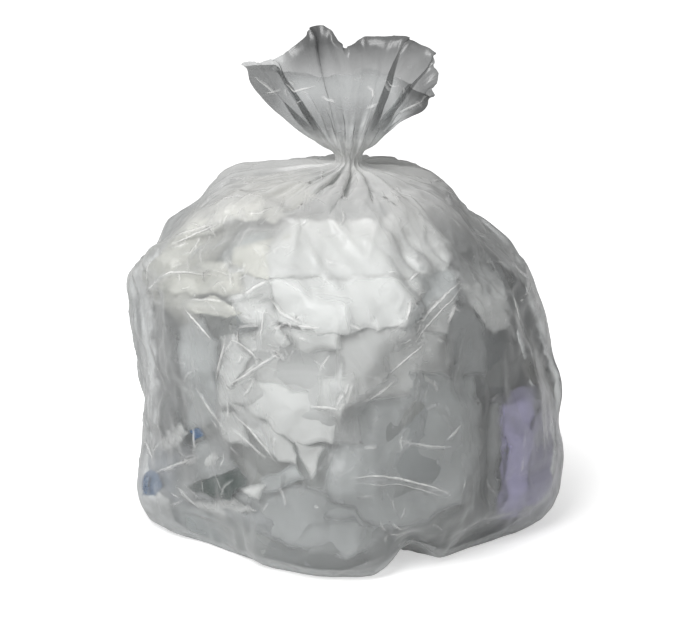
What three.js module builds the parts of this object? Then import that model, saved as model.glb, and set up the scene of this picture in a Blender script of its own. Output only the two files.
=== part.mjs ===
// A tied bin liner, full of light rubbish. The film is one blown bag: it lies flat on the ground, stands up
// round what it holds, is gathered into a tight neck and opens again above it in a ruffled mouth.
// The heap of mixed waste fills it. The rubbish that shows through the film lies in pockets of the heap.
// Millimetres, +Z up, the front faces -Y. Azimuths are degrees from the front towards +X.
import * as THREE from "three";

// Film: a thicker wall stands for a sheet of about 0.03 mm
const FILM_WALL = 1.6;
const NECK_CHANNEL_RADIUS = 3;

// Outline of the bag, as radii from its upright axis and heights above the ground
const BASE_FLAT_RADIUS = 206;
const BELLY_RADIUS = 235;
const BELLY_HEIGHT = 50;
const SHOULDER_RADIUS = 221;
const SHOULDER_HEIGHT = 272;
const CROWN_RADIUS = 124;
const CROWN_HEIGHT = 378;
const NECK_RADIUS = 14;
const NECK_HEIGHT = 404;
const NECK_LENGTH = 6;
const MOUTH_RADIUS = 92;
const MOUTH_HEIGHT = 530;

// Section of the bag: a rounded diamond on the ground, rounder towards the shoulder
const DIAMOND_AT_BASE = 0.13;
const DIAMOND_AT_SHOULDER = 0.04;
const DEPTH_TO_WIDTH = 0.97;
const BASE_LEAN = -4;
const BELLY_LEAN = 4;
const CROWN_LEAN = -23;
const MOUTH_SPREAD = 1.12;
const MOUTH_FLATNESS = 0.55;

// Gathers under the neck and ruffles of the mouth
const PLEATS = 18;
const PLEAT_DEPTH = 7;
const PLEAT_SHARE_OF_RADIUS = 0.16;
const RUFFLE_DEPTH = 8;

// The heap of mixed waste under the film, and the pockets in it for what shows through the film
const POCKET_DEPTH = 28;
const LEAST_PAD = 4;
const SEAT_GAP = 0.5;
const FILM_GAP = 1.2;
const HEAP_GAP = 3.5;
const HEAP_BASE_RADIUS = 196;
const HEAP_TOP_RADIUS = 66;
const HEAP_TOP_RISE = 6;
const LUMP_DEPTH = 11;
const EDGE_THICKNESS = 0.35;
const POCKET_MARGIN = 2;

// Fineness of the skin
const SEGMENTS = 72;
const COLUMN_DEGREES = 360 / SEGMENTS;

// Flats where the film is stretched between the corners of what it holds: cut is how deep each one trims
const FLAT_CUT = 12;
const FLAT_SOFTNESS = 2.5;
const FLATS = [
  { azimuth: -92, tilt: 46, cut: 1.35 },
  { azimuth: 88, tilt: 44, cut: 1.4 },
  { azimuth: 2, tilt: 50, cut: 1.1 },
  { azimuth: -44, tilt: 34, cut: 1 },
  { azimuth: 45, tilt: 37, cut: 1.15 },
  { azimuth: 176, tilt: 47, cut: 1.25 },
  { azimuth: 132, tilt: 36, cut: 1.1 },
  { azimuth: -137, tilt: 39, cut: 1.1 },
  { azimuth: -66, tilt: 2, cut: 0.75 },
  { azimuth: -18, tilt: 4, cut: 0.85 },
  { azimuth: 24, tilt: -2, cut: 0.75 },
  { azimuth: 74, tilt: 7, cut: 0.65 },
  { azimuth: 118, tilt: 1, cut: 0.75 },
  { azimuth: 158, tilt: 5, cut: 0.75 },
  { azimuth: -160, tilt: 0, cut: 0.65 },
  { azimuth: -112, tilt: 4, cut: 0.85 },
];

// Folds that run across the film from one place on it to another: a valley has a height under 0.
// A place is an azimuth and a count of stretches up the outline: 2.5 is half way up the side, which is the
// stretch after the base and the hem.
const FOLD_HEIGHT = 10;
const FOLD_WIDTH = 12;
const FOLDS = [
  { from: [36, 3.5], to: [-2, 2.68], height: 1, width: 1 },
  { from: [48, 3.3], to: [13, 2.6], height: 0.7, width: 0.9 },
  { from: [42, 2.63], to: [44, 1.8], height: -1, width: 1.15 },
  { from: [-6, 2.28], to: [30, 2.15], height: 0.9, width: 1 },
  { from: [-80, 2.88], to: [-44, 2.66], height: 0.9, width: 1 },
  { from: [-76, 3.25], to: [-30, 3.65], height: 0.9, width: 1 },
  { from: [64, 3.25], to: [82, 2.6], height: -0.9, width: 1.1 },
  { from: [-62, 2.36], to: [-28, 2.05], height: 0.9, width: 1.1 },
  { from: [124, 3.25], to: [150, 2.55], height: 0.9, width: 1.1 },
  { from: [-150, 3.2], to: [-118, 2.45], height: 0.9, width: 1.1 },
  { from: [170, 2.85], to: [-168, 2.2], height: -0.9, width: 1.15 },
  { from: [96, 2.36], to: [130, 2.05], height: 0.9, width: 1 },
];

// Broad crumples all over the body: each family of slanting folds has a count round the bag and one up it
const CRUMPLE_HEIGHT = 1.2;
const CRUMPLES = [
  { around: 13, up: 1.4, start: 0.15 },
  { around: -9, up: 2.6, start: 0.6 },
  { around: 5, up: -3.7, start: 0.35 },
];

// Places where the film is drawn in along the edge of the base, and how much of that is clear of the ground
const LIFT_DEPTH = 20;
const LIFTS = [
  { azimuth: 20, depth: 1, width: 7, clear: 0.9 },
  { azimuth: -48, depth: 0.7, width: 14, clear: 0 },
  { azimuth: 46, depth: 0.8, width: 16, clear: 0 },
  { azimuth: 112, depth: 0.75, width: 9, clear: 0 },
  { azimuth: -165, depth: 0.9, width: 9, clear: 0 },
  { azimuth: -104, depth: 0.5, width: 9, clear: 0 },
];

// The rim of the mouth: how far out it reaches, as a share of the mouth's radius, and how much it rises
const RIM_RISE = 24;
const RIM = [
  { azimuth: -180, reach: 0.8, rise: -0.5 },
  { azimuth: -165, reach: 0.85, rise: 0.7 },
  { azimuth: -148, reach: 0.9, rise: 0.7 },
  { azimuth: -130, reach: 0.85, rise: -0.5 },
  { azimuth: -112, reach: 0.92, rise: -0.6 },
  { azimuth: -90, reach: 1.1, rise: -0.62 },
  { azimuth: -55, reach: 0.95, rise: -0.5 },
  { azimuth: -20, reach: 0.8, rise: -0.9 },
  { azimuth: 15, reach: 0.95, rise: -0.5 },
  { azimuth: 45, reach: 0.85, rise: -1.3 },
  { azimuth: 65, reach: 1, rise: -2 },
  { azimuth: 80, reach: 0.85, rise: -1.7 },
  { azimuth: 95, reach: 0.95, rise: -1.1 },
  { azimuth: 115, reach: 0.84, rise: -0.35 },
  { azimuth: 138, reach: 0.9, rise: 0.1 },
  { azimuth: 162, reach: 0.9, rise: 0.1 },
  { azimuth: 180, reach: 0.8, rise: -0.5 },
];

// What shows through the film: from and to are the places of opposite corners
const RUBBISH = [
  { name: "folded_sheet", from: [-30, 3.17], to: [30, 4.2], look: "paper", puff: 8 },
  { name: "crumpled_paper", from: [-35, 2.43], to: [5, 3], look: "paper", puff: 4 },
  { name: "cream_wrapping", from: [-95, 2.86], to: [-45, 4], look: "cream", puff: 4 },
  { name: "lilac_pouch", from: [50, 1.75], to: [95, 2.57], look: "lilac", puff: 3 },
  { name: "blue_wrapper", from: [-95, 1.75], to: [-60, 2.28], look: "blue", puff: 3 },
  { name: "green_packet", from: [-50, 1.75], to: [-20, 2.14], look: "green", puff: 3 },
  { name: "tissue", from: [45, 2.86], to: [75, 3.5], look: "paper", puff: 3 },
];

const LOOKS = {
  film: { color: "#c9cccb", roughness: 0.3, metalness: 0, transparent: true, opacity: 0.5 },
  waste: { color: "#8d908f", roughness: 0.9, metalness: 0 },
  paper: { color: "#efefed", roughness: 0.85, metalness: 0 },
  cream: { color: "#e4e3d6", roughness: 0.85, metalness: 0 },
  lilac: { color: "#a9a5c4", roughness: 0.5, metalness: 0 },
  blue: { color: "#2d6ca2", roughness: 0.4, metalness: 0 },
  green: { color: "#5f6f69", roughness: 0.5, metalness: 0 },
};

const { clamp, lerp, smoothstep } = THREE.MathUtils;
const radians = THREE.MathUtils.degToRad;
const at = (radius, height) => new THREE.Vector2(radius, height);
const bell = (distance, width) => Math.exp(-((distance / width) ** 2));
const turnBetween = (a, b) => ((((a - b) % 360) + 540) % 360) - 180;

// Stretches of the outline, from the middle of the base up to the rim of the mouth
const neckTop = NECK_HEIGHT + NECK_LENGTH;
const STRETCHES = [
  { zone: "base", rows: 2, curve: new THREE.LineCurve(at(0, 0), at(BASE_FLAT_RADIUS, 0)) },
  {
    zone: "hem",
    rows: 4,
    curve: new THREE.QuadraticBezierCurve(
      at(BASE_FLAT_RADIUS, 0),
      at(BELLY_RADIUS, 0),
      at(BELLY_RADIUS, BELLY_HEIGHT),
    ),
  },
  {
    zone: "side",
    rows: 7,
    curve: new THREE.CubicBezierCurve(
      at(BELLY_RADIUS, BELLY_HEIGHT),
      at(BELLY_RADIUS, lerp(BELLY_HEIGHT, SHOULDER_HEIGHT, 0.3)),
      at(lerp(BELLY_RADIUS, SHOULDER_RADIUS, 0.4), lerp(BELLY_HEIGHT, SHOULDER_HEIGHT, 0.7)),
      at(SHOULDER_RADIUS, SHOULDER_HEIGHT),
    ),
  },
  {
    zone: "shoulder",
    rows: 6,
    curve: new THREE.CubicBezierCurve(
      at(SHOULDER_RADIUS, SHOULDER_HEIGHT),
      at(lerp(SHOULDER_RADIUS, CROWN_RADIUS, 0.05), lerp(SHOULDER_HEIGHT, CROWN_HEIGHT, 0.4)),
      at(lerp(CROWN_RADIUS, SHOULDER_RADIUS, 0.4), lerp(SHOULDER_HEIGHT, CROWN_HEIGHT, 0.83)),
      at(CROWN_RADIUS, CROWN_HEIGHT),
    ),
  },
  {
    zone: "crown",
    rows: 5,
    curve: new THREE.CubicBezierCurve(
      at(CROWN_RADIUS, CROWN_HEIGHT),
      at(lerp(NECK_RADIUS, CROWN_RADIUS, 0.65), lerp(CROWN_HEIGHT, NECK_HEIGHT, 0.5)),
      at(NECK_RADIUS, lerp(CROWN_HEIGHT, NECK_HEIGHT, 0.6)),
      at(NECK_RADIUS, NECK_HEIGHT),
    ),
  },
  {
    zone: "neck",
    rows: 2,
    curve: new THREE.LineCurve(at(NECK_RADIUS, NECK_HEIGHT), at(NECK_RADIUS, neckTop)),
  },
  {
    zone: "mouth",
    rows: 6,
    curve: new THREE.CubicBezierCurve(
      at(NECK_RADIUS, neckTop),
      at(lerp(NECK_RADIUS, MOUTH_RADIUS, 0.34), lerp(neckTop, MOUTH_HEIGHT, 0.2)),
      at(lerp(NECK_RADIUS, MOUTH_RADIUS, 0.75), lerp(neckTop, MOUTH_HEIGHT, 0.62)),
      at(MOUTH_RADIUS, MOUTH_HEIGHT),
    ),
  },
];

// Stations along the outline, each with its outward direction and its share of the stretch that it is on
function stationsOf(stretches) {
  const stations = [];
  for (const { zone, rows, curve } of stretches) {
    for (let row = stations.length ? 1 : 0; row <= rows; row += 1) {
      const share = row / rows;
      const point = curve.getPoint(share);
      const along = curve.getTangent(share);
      stations.push({ zone, share, radius: point.x, height: point.y, out: along.y, up: -along.x });
    }
  }
  return stations;
}

const STATIONS = stationsOf(STRETCHES);

// Where the middle of the bag lies at a height: the crown hangs over to the left of the neck
function leanAt(height) {
  const waist = 2 * BELLY_HEIGHT;
  const fullest = lerp(SHOULDER_HEIGHT, CROWN_HEIGHT, 0.5);
  const foot = lerp(BASE_LEAN, BELLY_LEAN, smoothstep(height, 0, waist));
  const body = lerp(foot, CROWN_LEAN, smoothstep(height, waist, fullest));
  return lerp(body, 0, smoothstep(height, CROWN_HEIGHT, NECK_HEIGHT));
}

// Puts a radius and a height of the outline at its place in the bag's own section
function place(azimuth, radius, height, mouthShare = 0) {
  const angle = radians(azimuth);
  const body = clamp(height / SHOULDER_HEIGHT, 0, 1);
  const crownFade = 1 - smoothstep(height, SHOULDER_HEIGHT, CROWN_HEIGHT);
  const diamond = lerp(DIAMOND_AT_BASE, DIAMOND_AT_SHOULDER, body) * crownFade;
  const reach = radius * (1 - (diamond * (1 - Math.cos(4 * angle))) / 2);
  const across = lerp(1, MOUTH_SPREAD, mouthShare);
  const deep = lerp(1, DEPTH_TO_WIDTH, crownFade) * lerp(1, MOUTH_FLATNESS, mouthShare);
  return new THREE.Vector3(
    leanAt(height) + reach * across * Math.sin(angle),
    -reach * deep * Math.cos(angle),
    height,
  );
}

const mouthShareOf = (station) => (station.zone === "mouth" ? smoothstep(station.share, 0, 1) : 0);
const azimuthOf = (column) => column * COLUMN_DEGREES - 180;
const outwards = (azimuth, station) => {
  const angle = radians(azimuth);
  return new THREE.Vector3(station.out * Math.sin(angle), -station.out * Math.cos(angle), station.up);
};

// The plane of each flat: its normal, and how far out it lies once the form's furthest point is trimmed
const PLANES = FLATS.map(({ azimuth, tilt, cut }) => {
  const level = Math.cos(radians(tilt));
  const normal = new THREE.Vector3(
    level * Math.sin(radians(azimuth)),
    -level * Math.cos(radians(azimuth)),
    Math.sin(radians(tilt)),
  );
  let furthest = 0;
  for (const station of STATIONS.filter(({ zone }) => zone !== "mouth" && zone !== "neck")) {
    for (let column = 0; column < SEGMENTS; column += 1) {
      const point = place(azimuthOf(column), station.radius, station.height);
      furthest = Math.max(furthest, point.dot(normal));
    }
  }
  return { normal, distance: furthest - cut * FLAT_CUT };
});

// How far the flats push the skin in at one place
function flatDepth(azimuth, station) {
  const point = place(azimuth, station.radius, station.height);
  const direction = outwards(azimuth, station);
  let deepest = 0;
  for (const { normal, distance } of PLANES) {
    const facing = direction.dot(normal);
    if (facing > 0.3) {
      const over = (point.dot(normal) - distance) / facing;
      deepest = Math.max(deepest, (over + Math.hypot(over, FLAT_SOFTNESS)) / 2);
    }
  }
  return deepest;
}

// Height of the outline at a place that is counted in stretches
function heightAt(place) {
  const stretch = Math.min(Math.floor(place), STRETCHES.length - 1);
  return STRETCHES[stretch].curve.getPoint(place - stretch).y;
}

// How far the folds lift the skin at one place: each is a ridge whose ends fade away
function foldHeight(azimuth, station) {
  const aroundPerDegree = radians(1) * BELLY_RADIUS;
  let lift = 0;
  for (const { from, to, height, width } of FOLDS) {
    const across = turnBetween(azimuth, from[0]) * aroundPerDegree;
    const rise = station.height - heightAt(from[1]);
    const runAcross = turnBetween(to[0], from[0]) * aroundPerDegree;
    const runRise = heightAt(to[1]) - heightAt(from[1]);
    const length = Math.hypot(runAcross, runRise);
    const along = (across * runAcross + rise * runRise) / length;
    const aside = (across * runRise - rise * runAcross) / length;
    const past = Math.max(0, -along, along - length);
    lift += FOLD_HEIGHT * height * bell(aside, width * FOLD_WIDTH) * bell(past, 2 * width * FOLD_WIDTH);
  }
  return lift;
}

// How far the crumples lift the skin at one place: where their families cross, they make facets
function crumpleHeight(azimuth, station) {
  const rise = station.height / SHOULDER_HEIGHT;
  const zigzag = (turns) => 4 * Math.abs(turns - Math.floor(turns + 0.5)) - 1;
  const lifts = CRUMPLES.map(({ around, up, start }) => zigzag((around * azimuth) / 360 + up * rise + start));
  return CRUMPLE_HEIGHT * lifts.reduce((sum, lift) => sum + lift, 0);
}

// How far the film is drawn in or up along the edge of the base
function liftDepth(azimuth, { zone, share }) {
  const onEdge = zone === "base" && share === 1;
  if (!onEdge && zone !== "hem") return 0;
  const up = onEdge ? 0 : share;
  const inHem = Math.sin(Math.PI * up ** 1.4);
  const offGround = Math.sqrt(Math.cos((Math.PI / 2) * up));
  const depths = LIFTS.map(({ depth, width, clear, ...lift }) => {
    return depth * Math.max(inHem, clear * offGround) * bell(turnBetween(azimuth, lift.azimuth), width);
  });
  return LIFT_DEPTH * depths.reduce((sum, depth) => sum + depth, 0);
}

// Gathers that run out from the neck over the crown
function pleatHeight(azimuth, station) {
  const shares = { shoulder: station.share - 1, crown: station.share, neck: 1, mouth: 1 - station.share };
  const share = smoothstep(shares[station.zone] ?? -1, -0.5, 0.7);
  const depth = Math.min(PLEAT_DEPTH, PLEAT_SHARE_OF_RADIUS * station.radius);
  const strength = 0.65 + 0.35 * Math.sin(radians(3 * azimuth) + 1);
  return depth * share * strength * Math.cos(radians(PLEATS * azimuth));
}

// Shape of the open mouth: how far its rim reaches in and out, with small ruffles, and how much it rises
function ruffle(azimuth, station) {
  const after = RIM.findIndex((one) => one.azimuth > azimuth);
  const [last, next] = [RIM[after - 1], RIM[after]];
  const between = smoothstep(azimuth, last.azimuth, next.azimuth);
  const wave = (times, shift) => Math.sin(radians(times * azimuth) + shift);
  const share = mouthShareOf(station);
  const reach = MOUTH_RADIUS * (lerp(last.reach, next.reach, between) - 1);
  const out = share * (reach + RUFFLE_DEPTH * (wave(9, 2.1) + 0.6 * wave(13, 0.5)));
  const up = share ** 2 * RIM_RISE * lerp(last.rise, next.rise, between);
  return { out, up };
}

// The film goes in no further than leaves room for a thin pad over the heap
const DEEPEST_PUSH = POCKET_DEPTH - FILM_WALL - FILM_GAP - LEAST_PAD;

// How far the skin stands out from the plain outline at one place
function skinPush(azimuth, station) {
  const onBody = ["side", "shoulder", "crown"].includes(station.zone);
  const crownFade = station.zone === "crown" ? 1 - smoothstep(station.share, 0, 0.6) : 1;
  let push = pleatHeight(azimuth, station) - liftDepth(azimuth, station);
  const creases = foldHeight(azimuth, station) + crumpleHeight(azimuth, station);
  if (onBody) push += (creases - flatDepth(azimuth, station)) * crownFade;
  if (station.zone === "hem") push -= flatDepth(azimuth, station) * smoothstep(station.share, 0.2, 1);
  return Math.max(push, -DEEPEST_PUSH);
}

// The outside of the film at one place
function skinPoint(azimuth, station) {
  const push = skinPush(azimuth, station);
  const waves = ruffle(azimuth, station);
  const radius = station.radius + station.out * push + waves.out;
  const height = station.height + station.up * push + waves.up;
  return place(azimuth, radius, height, mouthShareOf(station));
}

const COLUMNS = Array.from({ length: SEGMENTS }, (_, column) => column);
const HEAP_COLUMNS = COLUMNS.filter((column) => column % 2 === 0);
const SKIN = STATIONS.map((station) => COLUMNS.map((column) => skinPoint(azimuthOf(column), station)));

// Outward direction of the skin at a grid point, from its neighbours round the bag and along the outline
function skinNormal(row, column) {
  const round = (step) => SKIN[row][(column + step + SEGMENTS) % SEGMENTS];
  const next = SKIN[Math.min(row + 1, STATIONS.length - 1)][column];
  const last = SKIN[Math.max(row - 1, 0)][column];
  const across = round(1).clone().sub(round(-1));
  return across.cross(next.clone().sub(last)).normalize();
}

// A point under the skin. The base is level, so there it is straight above the outside.
function underSkin(row, column, depth) {
  const normal = STATIONS[row].zone === "base" ? new THREE.Vector3(0, 0, -1) : skinNormal(row, column);
  return SKIN[row][column].clone().addScaledVector(normal, -depth);
}

// Revolves a topology from ring to ring, and then puts each ring's points where the shape has them.
// The rings that go up turn their quads' diagonals, so that they lie like those of the rings that come down.
function revolved(rings, ringsUp) {
  const sides = Math.max(...rings.map((ring) => ring.length));
  const profile = rings.map((ring, row) => at(ring.length > 1 ? 1 : 0, row));
  const geometry = new THREE.LatheGeometry(profile, sides);
  const positions = geometry.getAttribute("position");
  for (let column = 0; column <= sides; column += 1) {
    rings.forEach((ring, row) => {
      const point = ring[column % ring.length];
      positions.setXYZ(column * rings.length + row, point.x, point.y, point.z);
    });
  }
  const index = geometry.getIndex();
  for (let quad = 0; quad < index.count; quad += 6) {
    if ((quad / 6) % (rings.length - 1) >= ringsUp) continue;
    const [a, b, d, c] = [0, 1, 2, 3].map((corner) => index.getX(quad + corner));
    [a, b, c, a, c, d].forEach((corner, order) => index.setX(quad + order, corner));
  }
  geometry.computeVertexNormals();
  return geometry;
}

// The film: up the outside to the rim, and down the inside through the gathered neck to the base again
function linerGeometry() {
  const outside = SKIN.map((ring, row) => (row === 0 ? [ring[0]] : ring));
  const inside = STATIONS.map((station, row) => {
    const { zone, share } = station;
    const choke = { crown: smoothstep(share, 0.55, 1), neck: 1, mouth: 1 - smoothstep(share, 0, 0.3) };
    const closing = choke[zone] ?? 0;
    if (row === 0) return [underSkin(row, 0, FILM_WALL)];
    return COLUMNS.map((column) => {
      const channel = place(azimuthOf(column), NECK_CHANNEL_RADIUS, station.height);
      return underSkin(row, column, FILM_WALL).lerp(channel, closing);
    });
  });
  return revolved([...outside, ...inside.reverse()], outside.length);
}

// A point at a depth under the plain outline
function underOutline(azimuth, station, depth) {
  return place(azimuth, station.radius - station.out * depth, station.height - station.up * depth);
}

// The grid's column at an azimuth, and its row at a place that is counted in stretches up the outline
const columnAt = (azimuth) => Math.round((azimuth + 180) / COLUMN_DEGREES);
function rowAt(place) {
  const stretch = Math.min(Math.floor(place), STRETCHES.length - 1);
  const below = STRETCHES.slice(0, stretch).reduce((sum, { rows }) => sum + rows, 0);
  return below + Math.round((place - stretch) * STRETCHES[stretch].rows);
}

// The columns and rows of the grid that a piece of rubbish covers
function cover({ from, to }) {
  return { columns: [columnAt(from[0]), columnAt(to[0])], rows: [rowAt(from[1]), rowAt(to[1])] };
}

// A number from 0 to 1 that is different at each point of the grid, and the same each time
function uneven(row, column) {
  const mixed = 43758.5453 * Math.sin(12.9898 * row + 78.233 * column);
  return mixed - Math.floor(mixed);
}

// How deep the heap lies under the outline: it fills the film, apart from the pockets and what is beside them
function heapDepth(row, column) {
  const near = (value, [first, last]) => value > first - POCKET_MARGIN && value < last + POCKET_MARGIN;
  const inPocket = RUBBISH.map(cover).some(({ columns, rows }) => near(column, columns) && near(row, rows));
  if (inPocket) return POCKET_DEPTH;
  const rows = [row - 1, row, row + 1].map((one) => STATIONS[one]);
  const azimuths = [column - 1, column, column + 1].map(azimuthOf);
  const pushes = rows.flatMap((station) => azimuths.map((azimuth) => skinPush(azimuth, station)));
  return FILM_WALL + HEAP_GAP + LUMP_DEPTH * uneven(row, column) - Math.min(...pushes);
}

function heapGeometry() {
  const floor = FILM_WALL + SEAT_GAP;
  const rows = [...STATIONS.keys()].filter((row) => {
    const { zone, share, radius } = STATIONS[row];
    const onHem = zone === "hem" && share > 0.5;
    const onCrown = zone === "crown" && radius > HEAP_TOP_RADIUS;
    return onHem || onCrown || zone === "side" || zone === "shoulder";
  });
  const rings = rows.map((row) =>
    HEAP_COLUMNS.map((column) => underOutline(azimuthOf(column), STATIONS[row], heapDepth(row, column))),
  );
  const edge = STATIONS.findIndex(({ zone, share }) => zone === "base" && share === 1);
  const foot = HEAP_COLUMNS.map((column) => {
    const raised = Math.max(...[-1, 0, 1].map((step) => SKIN[edge][(column + step + SEGMENTS) % SEGMENTS].z));
    return place(azimuthOf(column), HEAP_BASE_RADIUS, 0).setZ(floor + raised);
  });
  const top = underOutline(0, STATIONS[rows[rows.length - 1]], POCKET_DEPTH).z + HEAP_TOP_RISE;
  const axis = place(0, 0, top);
  const all = [[new THREE.Vector3(0, 0, floor)], foot, ...rings, [axis]];
  return revolved(all, all.length);
}

// A piece of rubbish: a pad bent into its pocket, against the heap behind and the film in front
function padGeometry({ puff, ...item }) {
  const { columns, rows } = cover(item);
  const [firstColumn, lastColumn] = columns;
  const [firstRow, lastRow] = rows;
  const wide = lastColumn - firstColumn;
  const tall = lastRow - firstRow;
  const geometry = new THREE.BoxGeometry(1, 1, 1, wide, tall, 1);
  const positions = geometry.getAttribute("position");
  for (let index = 0; index < positions.count; index += 1) {
    const across = positions.getX(index) + 0.5;
    const up = positions.getY(index) + 0.5;
    const column = firstColumn + Math.round(across * wide);
    const row = firstRow + Math.round(up * tall);
    const back = underOutline(azimuthOf(column), STATIONS[row], POCKET_DEPTH - SEAT_GAP);
    const front = underSkin(row, column, FILM_WALL + FILM_GAP);
    const edge = Math.max(Math.abs(2 * across - 1), Math.abs(2 * up - 1)) ** puff;
    const sunk = (1 - EDGE_THICKNESS) * edge * front.distanceTo(back);
    const point = positions.getZ(index) > 0 ? underSkin(row, column, FILM_WALL + FILM_GAP + sunk) : back;
    positions.setXYZ(index, point.x, point.y, point.z);
  }
  geometry.computeVertexNormals();
  return geometry;
}

function piece(name, geometry, look) {
  const mesh = new THREE.Mesh(geometry, new THREE.MeshStandardMaterial(LOOKS[look]));
  mesh.name = name;
  return mesh;
}

// The bag with what it holds, stood on the ground over the middle of its own outline
const bag = new THREE.Group();
bag.add(piece("liner", linerGeometry(), "film"));
bag.add(piece("mixed_waste", heapGeometry(), "waste"));
for (const item of RUBBISH) bag.add(piece(item.name, padGeometry(item), item.look));

const extent = new THREE.Box3().setFromObject(bag);
const middle = extent.getCenter(new THREE.Vector3());
bag.position.set(-middle.x, -middle.y, -extent.min.z);

export default bag;
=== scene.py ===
import math
import random

import bmesh
import bpy
import numpy as np
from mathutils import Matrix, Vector, geometry, noise
from mathutils.bvhtree import BVHTree


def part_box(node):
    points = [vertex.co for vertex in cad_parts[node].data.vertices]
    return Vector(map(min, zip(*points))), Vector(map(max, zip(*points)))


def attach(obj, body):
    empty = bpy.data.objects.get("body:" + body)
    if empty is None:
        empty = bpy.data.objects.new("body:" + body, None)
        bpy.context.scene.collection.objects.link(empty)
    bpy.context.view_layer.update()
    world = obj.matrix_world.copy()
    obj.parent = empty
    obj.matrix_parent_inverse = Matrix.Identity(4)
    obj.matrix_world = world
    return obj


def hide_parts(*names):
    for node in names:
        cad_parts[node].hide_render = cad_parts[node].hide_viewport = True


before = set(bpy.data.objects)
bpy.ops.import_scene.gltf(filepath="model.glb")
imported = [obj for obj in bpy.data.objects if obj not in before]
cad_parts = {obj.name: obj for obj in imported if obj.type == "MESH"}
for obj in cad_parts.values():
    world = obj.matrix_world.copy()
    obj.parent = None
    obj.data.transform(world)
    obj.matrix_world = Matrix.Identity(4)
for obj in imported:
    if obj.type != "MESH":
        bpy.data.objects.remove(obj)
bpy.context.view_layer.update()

bl_info = {
    "name": "Tied bin liner",
    "version": (1, 0, 0),
    "blender": (4, 5, 0),
    "location": "3D view > Sidebar > Liner",
    "description": "Dresses a full tied bin liner: draped film, the rubbish that shows through it, and a stage",
    "category": "Object",
}

AIM = Vector((0.003, 0, 0.2355))
RUBBISH = (
    "mixed_waste",
    "folded_sheet",
    "crumpled_paper",
    "cream_wrapping",
    "lilac_pouch",
    "blue_wrapper",
    "green_packet",
    "tissue",
)
PHOTO = (700, 622)
SENSOR = 36
MILLIMETRE = 0.001
SHARP = math.radians(24)


# Settings


class FilmSettings(bpy.types.PropertyGroup):
    """Sizes and colours of the film."""

    colour: bpy.props.FloatVectorProperty(
        name="Colour", description="Colour of the milky film", subtype="COLOR", size=3,
        default=(0.60, 0.61, 0.61), min=0, max=1,
    )
    haze: bpy.props.FloatProperty(
        name="Haze", description="How much of what lies behind the film it hides",
        subtype="FACTOR", default=0.32, min=0, max=1,
    )
    # The knot's whiter colour is film of many gathered layers, and it also paints light over the shade round
    # the knot.
    knot: bpy.props.FloatVectorProperty(
        name="Knot", description="Colour of the film where many layers are gathered", subtype="COLOR", size=3,
        default=(0.84, 0.84, 0.83), min=0, max=1,
    )
    # Painted shade: the film's colour is darkened towards this share of itself along the rim and over the tuft.
    edge: bpy.props.FloatProperty(
        name="Edge", description="How dark the film is at its darkest, along the rim, as a share of its colour",
        subtype="FACTOR", default=0.28, min=0, max=1,
    )
    slack: bpy.props.FloatProperty(
        name="Slack", description="How much longer the film is than the way round what it holds",
        subtype="FACTOR", default=0.02, min=0, max=0.3,
    )
    settling: bpy.props.IntProperty(
        name="Settling", description="Steps of the drape over the rubbish", default=26, min=1, max=60,
    )


class RubbishSettings(bpy.types.PropertyGroup):
    """Colours of what shows through the film."""

    paper: bpy.props.FloatVectorProperty(
        name="Paper", description="Colour of the white papers", subtype="COLOR", size=3,
        default=(0.90, 0.90, 0.885), min=0, max=1,
    )
    cream: bpy.props.FloatVectorProperty(
        name="Cream", description="Colour of the off-white wrapping", subtype="COLOR", size=3,
        default=(0.82, 0.81, 0.745), min=0, max=1,
    )
    lilac: bpy.props.FloatVectorProperty(
        name="Lilac", description="Colour of the pouch", subtype="COLOR", size=3,
        default=(0.42, 0.38, 0.62), min=0, max=1,
    )
    blue: bpy.props.FloatVectorProperty(
        name="Blue", description="Colour of the wrapper", subtype="COLOR", size=3,
        default=(0.01, 0.11, 0.28), min=0, max=1,
    )
    green: bpy.props.FloatVectorProperty(
        name="Green", description="Colour of the packet", subtype="COLOR", size=3,
        default=(0.06, 0.10, 0.085), min=0, max=1,
    )
    waste: bpy.props.FloatVectorProperty(
        name="Waste", description="Colour of the rest of the rubbish", subtype="COLOR", size=3,
        default=(0.36, 0.37, 0.37), min=0, max=1,
    )


class StageSettings(bpy.types.PropertyGroup):
    """Where the camera stands, and its lens."""

    elevation: bpy.props.FloatProperty(
        name="Elevation", description="Camera height above the horizon", subtype="ANGLE",
        default=math.radians(16), min=0, max=math.pi / 2,
    )
    distance: bpy.props.FloatProperty(
        name="Distance", description="Camera to the middle of the bag", unit="LENGTH", default=3.4, min=0.5,
    )
    lens: bpy.props.FloatProperty(
        name="Lens", description="Focal length", subtype="DISTANCE_CAMERA", default=159.0, min=10,
    )


# Mesh tools


def node_copy(*nodes):
    """A bmesh of CAD nodes, with the doubles of their loose triangles merged."""
    bm = bmesh.new()
    for node in nodes:
        bm.from_mesh(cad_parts[node].data)
    bmesh.ops.remove_doubles(bm, verts=bm.verts, dist=1e-6)
    return bm


def as_object(bm, name):
    """Puts a bmesh into a new object of the scene, smooth shaded, and frees it."""
    mesh = bpy.data.meshes.new(name)
    bm.to_mesh(mesh)
    bm.free()
    mesh.shade_smooth()
    obj = bpy.data.objects.new(name, mesh)
    bpy.context.scene.collection.objects.link(obj)
    return obj


def apply_modifiers(obj):
    """Replaces an object's mesh by what its modifiers make of it."""
    graph = bpy.context.evaluated_depsgraph_get()
    mesh = bpy.data.meshes.new_from_object(obj.evaluated_get(graph))
    obj.modifiers.clear()
    obj.data = mesh


def smooth_once(obj):
    """Applies one level of subdivision."""
    subdivision = obj.modifiers.new("Subdivision", "SUBSURF")
    subdivision.levels = subdivision.render_levels = 1
    subdivision.boundary_smooth = "ALL"
    apply_modifiers(obj)


def settle(obj, node, material):
    """Gives a finished piece its material and its body, and hides the CAD node that it takes the place of."""
    obj.data.materials.clear()
    obj.data.materials.append(material)
    obj.data.shade_smooth()
    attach(obj, "root")
    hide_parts(node)


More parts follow.
